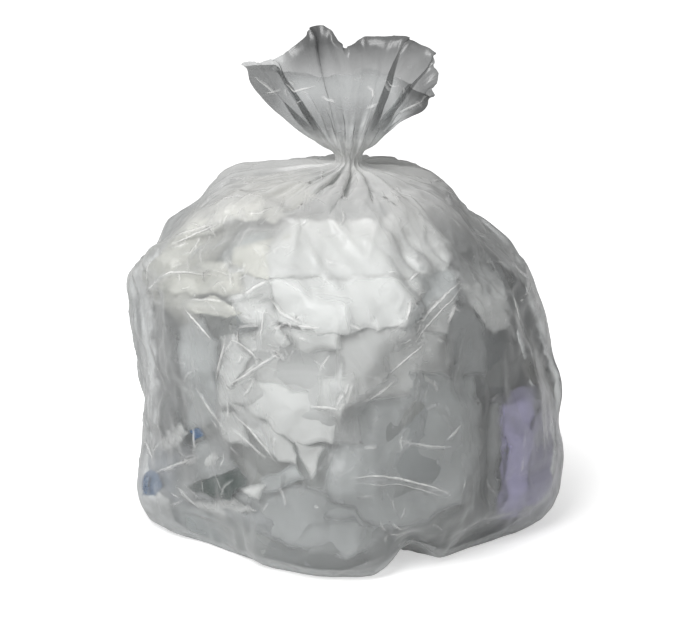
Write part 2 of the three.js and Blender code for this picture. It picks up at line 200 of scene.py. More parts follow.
def clamp(value):
    """A value kept between 0 and 1."""
    return min(1, max(0, value))


def tree_of(mesh, top=math.inf):
    """The faces of a mesh up to a height, for casting rays at."""
    faces = [tuple(face.vertices) for face in mesh.polygons if face.center.z < top]
    return BVHTree.FromPolygons([vertex.co.copy() for vertex in mesh.vertices], faces)


def crumpled_map(seed, width, height, spacing_u, spacing_v):
    """Corners and triangles of a crumpled sheet, 0 to 1 high over a flat map that repeats across its width."""
    rng = random.Random(seed)
    across = max(3, round(width / spacing_u))
    up = max(3, round(height / spacing_v))
    step_u, step_v = width / across, height / up
    points = []
    for row in range(-2, up + 2):
        for column in range(across):
            u = (column + rng.uniform(0.05, 0.95)) * step_u
            v = (row + rng.uniform(0.05, 0.95)) * step_v
            points.append((u, v, rng.random()))
    margin = 3 * step_u
    points += [(u - width, v, h) for u, v, h in points if u > width - margin] + [
        (u + width, v, h) for u, v, h in points if u < margin
    ]
    flat = [Vector((u, v)) for u, v, _ in points]
    made = geometry.delaunay_2d_cdt(flat, [], [], 0, 1e-7)
    return [(c.x, c.y, points[source[0]][2]) for c, source in zip(made[0], made[3])], made[2]


def crease_field(*size):
    """A crumpled sheet over a flat map, for looking up its height."""
    return BVHTree.FromPolygons(*crumpled_map(*size))


def crease(field, u, v):
    """Height of a crumpled sheet at a place on its map."""
    hit = field.ray_cast(Vector((u, v, 2)), Vector((0, 0, -1)))[0]
    return hit.z if hit else 0.5


# Material tools


def new_material(name):
    """A material with only its output and a principled shader."""
    material = bpy.data.materials.new(name)
    material.use_nodes = True
    tree = material.node_tree
    return material, tree, tree.nodes["Principled BSDF"], tree.nodes["Material Output"]


def add(tree, kind, settings=None, **inputs):
    """Adds a node, with settings as attributes and inputs as values or links."""
    node = tree.nodes.new(kind)
    for key, value in (settings or {}).items():
        setattr(node, key, value)
    for key, value in inputs.items():
        socket = node.inputs[int(key[1:])] if key[0] == "i" and key[1:].isdigit() else node.inputs[key]
        if isinstance(value, bpy.types.NodeSocket):
            tree.links.new(value, socket)
        else:
            socket.default_value = value
    return node


def object_place(tree):
    """The piece's own coordinates."""
    return add(tree, "ShaderNodeTexCoord").outputs["Object"]


def object_noise(tree, scale, detail=3.0, roughness=0.55, stretch=(1, 1, 1)):
    """Noise on the piece's own coordinates, as a factor."""
    mapped = add(tree, "ShaderNodeMapping", Vector=object_place(tree), Scale=stretch).outputs["Vector"]
    made = add(tree, "ShaderNodeTexNoise", Vector=mapped, Scale=scale, Detail=detail, Roughness=roughness)
    return made.outputs["Fac"]


def attribute(tree, name):
    """A value that the mesh holds at its vertices."""
    return add(tree, "ShaderNodeAttribute", {"attribute_name": name}).outputs["Fac"]


def maths(tree, operation, first, second=0.0):
    """One step of arithmetic on two values, each a number or a socket."""
    return add(tree, "ShaderNodeMath", {"operation": operation}, i0=first, i1=second).outputs[0]


def height_of(tree, vector):
    """The upward part of a vector."""
    return add(tree, "ShaderNodeSeparateXYZ", Vector=vector).outputs[2]


def ranged(tree, factor, low, high, start=0.3, end=0.7):
    """Maps a factor to a range."""
    node = add(tree, "ShaderNodeMapRange", Value=factor)
    for name, value in zip(("From Min", "From Max", "To Min", "To Max"), (start, end, low, high)):
        node.inputs[name].default_value = value
    return node.outputs["Result"]


def blended(tree, factor, first, second):
    """Mixes two colours, each a triple or a socket."""
    node = add(tree, "ShaderNodeMix", {"data_type": "RGBA"})
    tree.links.new(factor, node.inputs["Factor"])
    for socket, value in ((node.inputs[6], first), (node.inputs[7], second)):
        if isinstance(value, bpy.types.NodeSocket):
            tree.links.new(value, socket)
        else:
            socket.default_value = (*value, 1)
    return node.outputs[2]


def total(tree, *parts):
    """Adds factors, each given as a socket and its weight."""
    result = None
    for socket, weight in parts:
        node = add(tree, "ShaderNodeMath", {"operation": "MULTIPLY_ADD"}, i0=socket, i1=weight)
        if result:
            tree.links.new(result, node.inputs[2])
        else:
            node.inputs[2].default_value = 0
        result = node.outputs[0]
    return result


def set_roughness(tree, shader, scale, detail, low, high):
    """Gives a shader an uneven roughness."""
    tree.links.new(ranged(tree, object_noise(tree, scale, detail), low, high), shader.inputs["Roughness"])


def set_bump(tree, shader, height, strength, distance):
    """Gives a shader a fine relief."""
    bump = add(tree, "ShaderNodeBump", Height=height, Strength=strength, Distance=distance)
    tree.links.new(bump.outputs["Normal"], shader.inputs["Normal"])


def set_cover(tree, output, factor, shader):
    """Makes a surface clear where its cover is none, and returns the clear shader."""
    clear = add(tree, "ShaderNodeBsdfTransparent")
    mixed = add(tree, "ShaderNodeMixShader", i0=factor, i1=clear.outputs[0], i2=shader.outputs[0])
    tree.links.new(mixed.outputs[0], output.inputs["Surface"])
    return clear


WRINKLE_WIDTH = 0.06
DULL = 0.88
GLOW_SHARE = 0.35
CLEAR_FILM = (0.97, 0.98, 0.98, 1)
# White of the painted highlights along the film's creases
HIGHLIGHT_WHITE = (0.86, 0.86, 0.85, 1)


def wrinkle_lines(tree, scale, stretch):
    """Fine curved wrinkles on the piece's own coordinates: 1 on their crests, falling off quickly."""
    factor = object_noise(tree, scale, 2.0, 0.5, stretch)
    apart = maths(tree, "ABSOLUTE", maths(tree, "SUBTRACT", factor, 0.5))
    return ranged(tree, apart, 1, 0, 0, WRINKLE_WIDTH)


def film_material(settings):
    """Milky film: part haze and part clear, with a soft gloss, more haze on fold crests, fine wrinkles, and
    painted shade and light in its colour.
    """
    material, tree, film, output = new_material("milky_film")
    names = "crest", "rim", "knot", "tuft", "brim", "touch"
    crest, rim, knot, tuft, brim, touch = (attribute(tree, name) for name in names)
    cloud = object_noise(tree, 9, 4)
    slant = add(tree, "ShaderNodeLayerWeight", Blend=0.35).outputs["Facing"]
    turned = maths(tree, "MULTIPLY", slant, ranged(tree, tuft, 1, 0.4, 0, 1))
    steep = maths(tree, "MULTIPLY", turned, turned)
    normal = add(tree, "ShaderNodeNewGeometry").outputs["Normal"]
    upward = ranged(tree, height_of(tree, normal), 0, 1, 0.1, 0.9)
    foot = ranged(tree, height_of(tree, object_place(tree)), 1, 0, 0.01, 0.07)

    milky = blended(tree, cloud, [DULL * c for c in settings.colour], settings.colour)
    dark = [settings.edge * c for c in settings.colour]
    # Painted shade and light: the film's colour is darkened towards its edge share along the rim and over the
    # tuft, and lightened where it faces up, round the knot and at its foot.
    painted_shade = total(tree, (rim, 1.1), (knot, -1.0), (upward, -0.5), (tuft, 0.5), (foot, -0.3))
    darkness = ranged(tree, painted_shade, 0, 1, -0.05, 0.37)
    shaded = blended(tree, darkness, blended(tree, knot, milky, settings.knot), dark)
    tree.links.new(shaded, film.inputs["Base Color"])
    set_roughness(tree, film, 45, 3, 0.15, 0.3)
    tree.links.new(ranged(tree, slant, 0.6, 0.05, 0.35, 0.85), film.inputs["Specular IOR Level"])

    unrolled = add(tree, "ShaderNodeUVMap", {"uv_map": "film"}).outputs[0]
    drawn = add(tree, "ShaderNodeMapping", Vector=unrolled, Scale=(90, 5, 1)).outputs[0]
    gathers = add(tree, "ShaderNodeTexNoise", Vector=drawn, Scale=1.0, Detail=3.0).outputs["Fac"]
    patches = ranged(tree, object_noise(tree, 8, 2), 0, 1, 0.45, 0.6)
    others = ranged(tree, object_noise(tree, 7, 2, 0.5, (1.3, 1, 1.2)), 0, 1, 0.45, 0.6)
    lines = maths(tree, "MULTIPLY", wrinkle_lines(tree, 34, (1, 1, 0.3)), patches)
    cross = maths(tree, "MULTIPLY", wrinkle_lines(tree, 30, (0.45, 0.45, 1.1)), others)
    height = total(tree, (gathers, 0.8), (lines, 0.7), (cross, 0.7), (object_noise(tree, 90, 3), 0.3))
    set_bump(tree, film, height, 0.5, 0.0016)

    glow = add(tree, "ShaderNodeBsdfTranslucent", Color=shaded)
    milk = add(tree, "ShaderNodeMixShader", i0=GLOW_SHARE, i1=film.outputs[0], i2=glow.outputs[0])
    base = ranged(tree, cloud, settings.haze - 0.05, settings.haze + 0.06)
    haze = total(
        tree, (base, 1.0), (crest, 0.2), (steep, 1.5), (knot, 0.35), (tuft, 0.32), (rim, 0.5), (brim, -0.72),
    )
    hides = maths(tree, "MULTIPLY", maths(tree, "MINIMUM", haze, 1.0), ranged(tree, touch, 1, 0.35, 0, 1))
    set_cover(tree, output, hides, milk).inputs["Color"].default_value = CLEAR_FILM
    return material


def crease_highlight_material():
    """Film along a sharp fold, painted white as the highlight that the fold catches, fading out at its ends and
    edges.
    """
    material, tree, shader, output = new_material("painted_crease_highlight")
    shader.inputs["Base Color"].default_value = HIGHLIGHT_WHITE
    set_roughness(tree, shader, 80, 2, 0.25, 0.4)
    # Noise breaks up the painted highlight along each crease
    highlight_breakup = ranged(tree, object_noise(tree, 160, 3), 0.55, 1.0)
    set_cover(tree, output, maths(tree, "MULTIPLY", attribute(tree, "cover"), highlight_breakup), shader)
    return material


DRAB = (0.44, 0.45, 0.46)


def plain_material(name, colour, rough, grain, depth, shade=0.82):
    """Paper or plastic of one colour, with uneven tone, a fine grain and edges that run out softly."""
    material, tree, shader, output = new_material(name)
    clouds = ranged(tree, object_noise(tree, 14, 4), 0, 1)
    uneven = blended(tree, clouds, [shade * c for c in colour], colour)
    faded = blended(tree, attribute(tree, "drab"), uneven, DRAB)
    tone = attribute(tree, "tone")
    toned = add(tree, "ShaderNodeVectorMath", {"operation": "SCALE"}, i0=faded, Scale=tone)
    tree.links.new(toned.outputs[0], shader.inputs["Base Color"])
    set_roughness(tree, shader, 60, 2, rough - 0.08, rough + 0.08)
    set_bump(tree, shader, object_noise(tree, grain, 4), 0.4, depth)
    set_cover(tree, output, attribute(tree, "cover"), shader)
    return material


def waste_material(colour):
    """Mixed rubbish: angular scraps of many greys, a little warmer and cooler, with painted shade that makes it
    darker low on the right.
    """
    material, tree, shader, _ = new_material("mixed_rubbish")
    place = object_place(tree)
    bend = add(tree, "ShaderNodeTexNoise", Vector=place, Scale=14.0, Detail=2.0).outputs["Color"]
    warp = add(tree, "ShaderNodeVectorMath", {"operation": "SCALE"}, i0=bend, Scale=0.04)
    moved = add(tree, "ShaderNodeVectorMath", i0=place, i1=warp.outputs[0])
    cells = add(tree, "ShaderNodeTexVoronoi", {"distance": "MANHATTAN"}, Vector=moved.outputs[0], Scale=15.0)
    pick = add(tree, "ShaderNodeSeparateColor", Color=cells.outputs["Color"])
    grey = blended(tree, pick.outputs[0], colour, tuple(min(1, 1.8 * c) for c in colour))
    warm = blended(tree, pick.outputs[1], (1, 0.99, 0.95), (0.95, 0.98, 1))
    tint = add(tree, "ShaderNodeVectorMath", {"operation": "MULTIPLY"}, i0=grey, i1=warm)
    # Painted shade: darker to the right and lower down, lighter to the left and higher up.
    side = add(tree, "ShaderNodeSeparateXYZ", Vector=place)
    slope = total(tree, (side.outputs[0], -1.0), (side.outputs[2], 0.6))
    shade = ranged(tree, slope, 0.25, 1.1, -0.15, 0.25)
    toned = add(tree, "ShaderNodeVectorMath", {"operation": "SCALE"}, i0=tint.outputs[0], Scale=shade)
    tree.links.new(toned.outputs[0], shader.inputs["Base Color"])
    set_roughness(tree, shader, 30, 2, 0.45, 0.75)
    set_bump(tree, shader, object_noise(tree, 70, 4), 0.5, 0.002)
    return material


# The film


def neck_height():
    """Height of the gathered neck."""
    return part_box("liner")[1].z * NECK_SHARE


def rising(values, start, span):
    """0 to 1 as values go from a start over a span, which may run downwards."""
    return np.clip((values - start) / span, 0, 1)


def film_rings(bm):
    """Rings of the shell's vertices, from the middle of the base outwards, and each vertex's ring."""
    middle = min((v for v in bm.verts if len(v.link_edges) > 40), key=lambda v: v.co.z)
    rings, ring_of = [[middle]], {middle: 0}
    while rings[-1]:
        found = []
        for vertex in rings[-1]:
            for edge in vertex.link_edges:
                other = edge.other_vert(vertex)
                if other not in ring_of:
                    ring_of[other] = len(rings)
                    found.append(other)
        rings.append(found)
    return rings[:-1], ring_of


def film_columns(rings, ring_of, last):
    """Column of each vertex round the bag, counted from the middle of the back."""
    centre = sum((v.co for v in rings[1]), Vector()) / len(rings[1])
    first = sorted(rings[1], key=lambda v: math.atan2(v.co.x - centre.x, centre.y - v.co.y))
    column_of = {vertex: column for column, vertex in enumerate(first)}
    for ring in rings[2 : last + 1]:
        for vertex in ring:
            others = (edge.other_vert(vertex) for edge in vertex.link_edges)
            low, high = sorted(column_of[v] for v in others if ring_of[v] == ring_of[vertex] - 1)
            column_of[vertex] = high if high - low == 1 else low
    return column_of, len(first)


def outer_wall():
    """The outside of the film as quads, with a map of columns and rows as its UV layer."""
    bm = node_copy("liner")
    rings, ring_of = film_rings(bm)
    heights = [sum(v.co.z for v in ring) / len(ring) for ring in rings]
    last = next(row for row, height in enumerate(heights) if height > max(heights) - 0.003)
    bmesh.ops.delete(bm, geom=[v for ring in rings[last + 1 :] for v in ring], context="VERTS")
    column_of, columns = film_columns(rings, ring_of, last)
    diagonals = []
    for edge in bm.edges:
        a, b = edge.verts
        if 0 not in (ring_of[a], ring_of[b]) and ring_of[a] != ring_of[b] and column_of[a] != column_of[b]:
            diagonals.append(edge)
    bmesh.ops.dissolve_edges(bm, edges=diagonals)
    layer = bm.loops.layers.uv.new("film")
    for face in bm.faces:
        at = [column_of.get(loop.vert) for loop in face.loops]
        known = [c for c in at if c is not None]
        wraps = max(known) - min(known) > columns / 2
        for loop, column in zip(face.loops, at):
            column = sum(known) / len(known) if column is None else column
            column += columns if wraps and column < columns / 2 else 0
            loop[layer].uv = (column / columns, ring_of[loop.vert] / last)
    return bm


def drape(film, settings):
    """Lets the slack film settle over the rubbish, held at the neck and on the ground."""
    neck = neck_height()
    held = film.vertex_groups.new(name="held")
    spare = film.vertex_groups.new(name="spare")
    for vertex in film.data.vertices:
        z = vertex.co.z
        if z < 0.002 or abs(z - neck) < 0.010:
            weight = 1.0
        elif z > neck:
            weight = 0.35
        else:
            weight = 0.15
        held.add([vertex.index], weight, "REPLACE")
        spare.add([vertex.index], 1.0 if z > neck else 0.0, "REPLACE")
    rubbish = as_object(node_copy(*RUBBISH), "rubbish_under_film")
    floor_mesh = bmesh.new()
    bmesh.ops.create_grid(floor_mesh, x_segments=1, y_segments=1, size=0.6)
    floor = as_object(floor_mesh, "floor_under_film")
    for solid in (rubbish, floor):
        solid.modifiers.new("Collision", "COLLISION")
        solid.collision.thickness_outer = 0.001
        solid.collision.thickness_inner = 0.008
        solid.collision.damping = 0.8
        solid.collision.cloth_friction = 8
    cloth = film.modifiers.new("Cloth", "CLOTH")
    fabric = cloth.settings
    fabric.quality = 6
    fabric.mass = 0.05
    fabric.tension_stiffness = fabric.compression_stiffness = 20
    fabric.shear_stiffness = 8
    fabric.bending_stiffness = 0.02
    fabric.tension_damping = fabric.compression_damping = fabric.shear_damping = 8
    fabric.bending_damping = 0.5
    fabric.air_damping = 1.5
    fabric.vertex_group_mass = "held"
    fabric.pin_stiffness = 1
    fabric.vertex_group_shrink = "spare"
    fabric.shrink_min = -settings.slack
    fabric.shrink_max = -0.10
    fabric.effector_weights.gravity = 0.2
    cloth.collision_settings.distance_min = 0.001
    cloth.collision_settings.use_self_collision = False
    cloth.point_cache.frame_start = 1
    cloth.point_cache.frame_end = settings.settling
    scene = bpy.context.scene
    for step in range(1, settings.settling + 1):
        scene.frame_set(step)
    apply_modifiers(film)
    scene.frame_set(1)
    for solid in (rubbish, floor):
        bpy.data.objects.remove(solid)
    film.vertex_groups.clear()


NECK_SHARE = 0.737
MAP_WIDTH = 1.5
MAP_HEIGHT = 0.85
BROAD_FACETS = (3, MAP_WIDTH, MAP_HEIGHT, 0.045, 0.062)
FINE_FACETS = (8, MAP_WIDTH, MAP_HEIGHT, 0.017, 0.024)
COLUMNS, ROWS = 432, 192
KNOT_BELOW = 0.058
KNOT_ABOVE = 0.034
RIM_FROM = 0.485
RIM_REACH = 0.055
BRIM_FROM = 0.85
BRIM_REACH = 0.12
CREST_HEIGHT = 0.003
TUFT_FROM = 0.02
FACET_HEIGHT = 0.0042
FINE_HEIGHT = 0.0018
HANDLED_HEIGHT = 0.0035
LOWEST = 0.0002
FOLD_SEED, GATHERS, STARS, SINGLE_FOLDS = 21, 46, 20, 70
PIXEL = 0.0011
CURL_FROM = 0.975
CURL_OUT = 0.005
CURL_DOWN = 0.003

# Long folds that the photograph shows: two ends in pixels, height and width in millimetres
FOLD_LINES = (
    ((463, 281), (389, 353), 4.0, 7),
    ((447, 283), (381, 348), 3.5, 7),
    ((350, 478), (400, 482), 3.5, 6),
    ((398, 481), (452, 496), 3.5, 6),
    ((491, 392), (488, 510), -5.0, 9),
    ((147, 293), (172, 271), 4.0, 7),
    ((172, 271), (226, 268), 4.0, 7),
    ((181, 303), (214, 343), 3.5, 7),
    ((182, 303), (240, 312), 3.5, 7),
    ((263, 311), (258, 360), 3.0, 6),
    ((226, 333), (256, 362), 3.0, 6),
    ((337, 318), (340, 400), 3.0, 6),
    ((345, 300), (352, 345), 3.0, 6),
    ((352, 405), (400, 375), 3.5, 7),
    ((510, 291), (525, 335), 3.5, 7),
    ((420, 215), (462, 280), 3.0, 8),
    ((132, 276), (146, 340), -3.5, 8),
    ((190, 236), (250, 215), 3.0, 8),
)

# Where coloured pieces lie against the film, which then hides less of them: place and reach in pixels
TOUCHED = ((146, 485, 15), (192, 435, 10), (205, 486, 18), (228, 485, 18), (537, 372, 13))

# The tuft's outline: places on it before it is drawn to the photograph, and where they go, in pixels
TUFT_MOVES = (
    ((231, 65), (243, 63)),
    ((246, 62), (256, 62)),
    ((265, 60), (272, 60)),
    ((256, 84), (261, 86)),
    ((304, 36), (306, 38)),
    ((308, 28), (312, 28)),
    ((326, 25), (323, 26)),
    ((336, 29), (332, 30)),
    ((343, 39), (336, 37)),
    ((347, 48), (337, 45)),
    ((348, 56), (345, 48)),
    ((351, 53), (354, 48)),
    ((363, 44), (358, 43)),
    ((372, 39), (362, 36)),
    ((396, 39), (396, 36)),
    ((409, 42), (411, 36)),
    ((428, 49), (429, 46)),
    ((440, 56), (435, 54)),
    ((430, 69), (437, 66)),
    ((441, 77), (441, 74)),
    ((445, 87), (438, 82)),
    ((440, 94), (430, 88)),
    ((442, 99), (438, 97)),
    ((424, 112), (425, 112)),
    ((348, 130), (348, 130)),
    ((300, 120), (300, 120)),
    ((395, 125), (395, 125)),
)
TUFT_PULL = 9.0
TUFT_HOLD = 0.15


def view_of(stage):
    """Pixels per unit of slope in the photograph, and the sine and cosine of the camera's elevation."""
    return PHOTO[0] * stage.lens / SENSOR, math.sin(stage.elevation), math.cos(stage.elevation)


def photo_ray(stage, x, y):
    """Start and direction of the line of sight through a pixel of the photograph."""
    scale, rise, level = view_of(stage)
    forward, up = Vector((0, level, -rise)), Vector((0, rise, level))
    across = Vector(((x - PHOTO[0] / 2) / scale, 0, 0))
    start = AIM - stage.distance * forward
    return start, (forward + across + up * (PHOTO[1] / 2 - y) / scale).normalized()


def seen_at(tree, stage, x, y):
    """Where the line of sight through a pixel of the photograph meets a mesh, if it does."""
    return tree.ray_cast(*photo_ray(stage, x, y))[0]


def draw_tuft(spots, stage, low):
    """Moves the tuft's film sideways and upwards, as the nearest places of its outline move."""
    scale, rise, level = view_of(stage)
    starts = np.array([start for start, _ in TUFT_MOVES], dtype=float)
    moves = np.array([end for _, end in TUFT_MOVES], dtype=float) - starts
    x, y, z = (spots - np.array(AIM)).T
    depth = stage.distance + y * level - z * rise
    pixels = np.stack((
        PHOTO[0] / 2 + scale * x / depth,
        PHOTO[1] / 2 - scale * (y * rise + z * level) / depth,
    ), axis=1)
    apart = np.linalg.norm(pixels[:, None, :] - starts[None, :, :], axis=2)
    weights = 1 / (1 + (apart / TUFT_PULL) ** 4)
    shift = (weights[:, :, None] * moves[None, :, :]).sum(axis=1) / (weights.sum(axis=1) + TUFT_HOLD)[:, None]
    shift *= rising(spots[:, 2], low, 0.04)[:, None]
    drawn = spots.copy()
    drawn[:, 0] += shift[:, 0] * depth / scale
    drawn[:, 2] -= shift[:, 1] * depth / scale / level
    return drawn


# The notch in the front of the base: its middle across, its width, rise and height, and how far back it runs
NOTCH_AT = 0.072
NOTCH_WIDTH = 0.020
NOTCH_RISE = 0.02
NOTCH_HEIGHT = 0.06
NOTCH_BACK = -0.12
NOTCH_REACH = 0.06


def notch_lift(spots):
    """How far the front of the base is drawn up at its notch."""
    x, y, z = spots.T
    across = np.exp(-(((x - NOTCH_AT) / NOTCH_WIDTH) ** 2))
    return NOTCH_RISE * across * rising(z, NOTCH_HEIGHT, -NOTCH_HEIGHT) * rising(y, NOTCH_BACK, -NOTCH_REACH)


def ridge(points, spots, height, width):
    """Height of a sharp fold along a line of points, at many spots: full on the line, and none at its ends."""
    tops = np.zeros(len(spots))
    lengths = np.linalg.norm(np.diff(points, axis=0), axis=1)
    whole, passed = lengths.sum(), 0.0
    for start, end, length in zip(points[:-1], points[1:], lengths):
        if length > 1e-6:
            along = np.clip((spots - start) @ (end - start) / length**2, 0, 1)
            apart = np.linalg.norm(spots - (start + along[:, None] * (end - start)), axis=1)
            fade = np.sqrt(np.sin(np.pi * np.clip((passed + along * length) / whole, 0, 1)))
            tops = np.maximum(tops, np.clip(1 - apart / width, 0, 1) * fade)
        passed += length
    return height * tops


def map_step(u, v, angle, reach):
    """The place on the film's map that lies at an angle and a distance from another."""
    return u + reach * math.cos(angle) / MAP_WIDTH, v + reach * math.sin(angle) / MAP_HEIGHT


def random_folds(rng):
    """Folds as places on the film's map: gathers under the neck, stars round corners, and single ones."""
    folds = []
    for _ in range(GATHERS):
        u, top = rng.random(), rng.uniform(0.69, 0.75)
        low = rng.uniform(0.5, 0.66)
        end = (u + rng.gauss(0, 0.012), low)
        folds.append(((u, top), end, rng.uniform(0.0006, 0.0018), rng.uniform(0.004, 0.007)))
    for _ in range(STARS):
        u, v = rng.random(), rng.uniform(0.22, 0.62)
        turn = rng.uniform(0, math.tau)
        for arm in range(rng.randint(3, 6)):
            angle = turn + arm * math.tau / 5 + rng.uniform(-0.4, 0.4)
            end = map_step(u, v, angle, rng.uniform(0.03, 0.085))
            folds.append(((u, v), end, rng.uniform(0.001, 0.0028), rng.uniform(0.004, 0.006)))
    for _ in range(SINGLE_FOLDS):
        u, v = rng.random(), rng.uniform(0.2, 0.66)
        angle = rng.choice((1, -1)) * rng.gauss(1.1, 0.35)
        end = map_step(u, v, angle, rng.uniform(0.05, 0.15))
        height = rng.choice((1, 1, -1)) * rng.uniform(0.001, 0.0025)
        folds.append(((u, v), end, height, rng.uniform(0.004, 0.007)))
    return folds


def vertex_array(mesh, name):
    """Positions or normals of a mesh's vertices as an array."""
    values = np.empty(3 * len(mesh.vertices))
    mesh.vertices.foreach_get(name, values)
    return values.reshape(-1, 3)


def film_map(mesh):
    """Each vertex's place on the film's map, and the vertex at each crossing of the map's grid."""
    places = np.zeros((len(mesh.vertices), 2))
    corners = np.empty(len(mesh.loops), dtype=int)
    mesh.loops.foreach_get("vertex_index", corners)
    flat = np.empty(2 * len(mesh.loops))
    mesh.uv_layers[0].uv.foreach_get("vector", flat)
    places[corners] = flat.reshape(-1, 2)
    grid = {}
    for index, (u, v) in enumerate(places):
        grid[round(u * COLUMNS) % COLUMNS, round(v * ROWS)] = index
    return places, grid


def crossing(u, v):
    """The crossing of the map's grid next to a place on the map."""
    return round((u % 1) * COLUMNS) % COLUMNS, min(ROWS, max(1, round(v * ROWS)))


def stations(start, end, count):
    """Places at even steps from one place to another."""
    return [tuple(a + (b - a) * t for a, b in zip(start, end)) for t in np.linspace(0, 1, count)]


def near_pixels(tree, stage, spots, places):
    """How near spots are to places of the photograph, each with its reach in pixels: 1 down to 0."""
    near = np.zeros(len(spots))
    for x, y, reach in places:
        apart = np.linalg.norm(spots - np.array(seen_at(tree, stage, x, y)), axis=1)
        near = np.maximum(near, np.exp(-((apart / (PIXEL * reach)) ** 2)))
    return near


def fold_paths(spots, grid, tree, stage):
    """The film's folds as lines of points on it, each with its height and width."""
    paths = []
    for start, end, height, width in random_folds(random.Random(FOLD_SEED)):
        keys = [crossing(u, v) for u, v in stations(start, end, 7)]
        paths.append((spots[[grid[key] for key in keys if key in grid]], height, width))
    for start, end, height, width in FOLD_LINES:
        hits = [seen_at(tree, stage, x, y) for x, y in stations(start, end, 9)]
        paths.append((np.array([hit for hit in hits if hit]), height * MILLIMETRE, width * MILLIMETRE))
    return paths


def mark_film(mesh, spots, places, lift, touch):
    """Stores at each vertex what the film's material reads there."""
    neck = neck_height()
    x, y, z = spots.T
    upper = rising(places[:, 1], BRIM_FROM, BRIM_REACH)
    side = rising(np.abs(x), 0.05, 0.03)
    # The rim mask carries painted shade: it darkens the film's colour, and makes it hazier, along the top back
    # of the tuft and over its upper right side.
    rim = rising(z, RIM_FROM, RIM_REACH) * rising(y, -0.045, 0.04) * rising(x, -0.075, 0.02)
    rim = np.maximum(rim, 0.55 * side * upper * (x > 0))
    marks = {
        "crest": np.clip(lift / CREST_HEIGHT, 0, 1) ** 2,
        "tuft": rising(z, neck + 0.005, 0.03),
        "knot": np.exp(-(((z - neck) / np.where(z > neck, KNOT_ABOVE, KNOT_BELOW)) ** 2)),
        "brim": upper * (1 - side) * rising(y, 0.01, -0.02) * np.clip(1 - 2 * rim, 0, 1),
        "rim": rim,
        "touch": touch,
    }
    for name, values in marks.items():
        mesh.attributes.new(name, "FLOAT", "POINT").data.foreach_set("value", values)


def facet_lift(spots, places, handled):
    """How far the film's facets stand out at each vertex, more so where it has been handled."""
    broad, fine = crease_field(*BROAD_FACETS), crease_field(*FINE_FACETS)
    lift = np.zeros(len(spots))
    for index, (u, v) in enumerate(places):
        at = (u % 1) * MAP_WIDTH, v * MAP_HEIGHT
        small = crease(fine, *at)
        rough = 0.5 + 0.5 * noise.noise(Vector(spots[index]) * 9)
        lift[index] = FACET_HEIGHT * (crease(broad, *at) - 0.5) + FINE_HEIGHT * rough * small
        lift[index] += HANDLED_HEIGHT * handled[index] * (small - 0.5)
    return lift


def crinkle(film, stage):
    """Adds the sharp folds and facets of film which has been handled."""
    mesh = film.data
    spots, normals = vertex_array(mesh, "co"), vertex_array(mesh, "normal")
    places, grid = film_map(mesh)
    tree = tree_of(mesh)
    lift = np.zeros(len(spots))
    for points, height, width in fold_paths(spots, grid, tree, stage):
        if len(points) > 1:
            low, high = points.min(axis=0) - width, points.max(axis=0) + width
            near = np.all((spots > low) & (spots < high), axis=1)
            lift[near] += ridge(points, spots[near], height, width)
    mark_film(mesh, spots, places, lift, near_pixels(tree, stage, spots, TOUCHED))
    handled = near_pixels(tree, stage, spots, [cluster[:3] for cluster in CRUMPLED])
    x, y, z = spots.T
    low = neck_height() + TUFT_FROM
    tuft = z > low
    room = rising(np.hypot(x, y), 0, 0.15) * rising(z, 0.004, 0.03)
    room[tuft] = 1
    curl = rising(places[:, 1], CURL_FROM, 1 - CURL_FROM) ** 2
    out = lift + facet_lift(spots, places, handled) * room + CURL_OUT * curl
    moved = spots + normals * out[:, None]
    moved[:, 2] -= CURL_DOWN * curl
    moved[:, 2] += notch_lift(moved)
    moved[tuft] = draw_tuft(moved[tuft], stage, low)
    moved[:, 2] = np.maximum(moved[:, 2], LOWEST)
    mesh.vertices.foreach_set("co", moved.ravel())
    mesh.update()


class LINER_OT_film(bpy.types.Operator):
    """Drapes the film over the rubbish"""

    bl_idname = "liner.film"
    bl_label = "Film"

    def execute(self, context):
        settings = context.scene.liner_film
        bm = outer_wall()
        bmesh.ops.subdivide_edges(bm, edges=bm.edges, cuts=2, use_grid_fill=True, smooth=1.0)
        for vertex in bm.verts:
            vertex.co += vertex.normal * 0.0015 * noise.noise(vertex.co * 28)
        film = as_object(bm, "film")
        drape(film, settings)
        smooth_once(film)
        crinkle(film, context.scene.liner_stage)
        settle(film, "liner", film_material(settings))
        return {"FINISHED"}
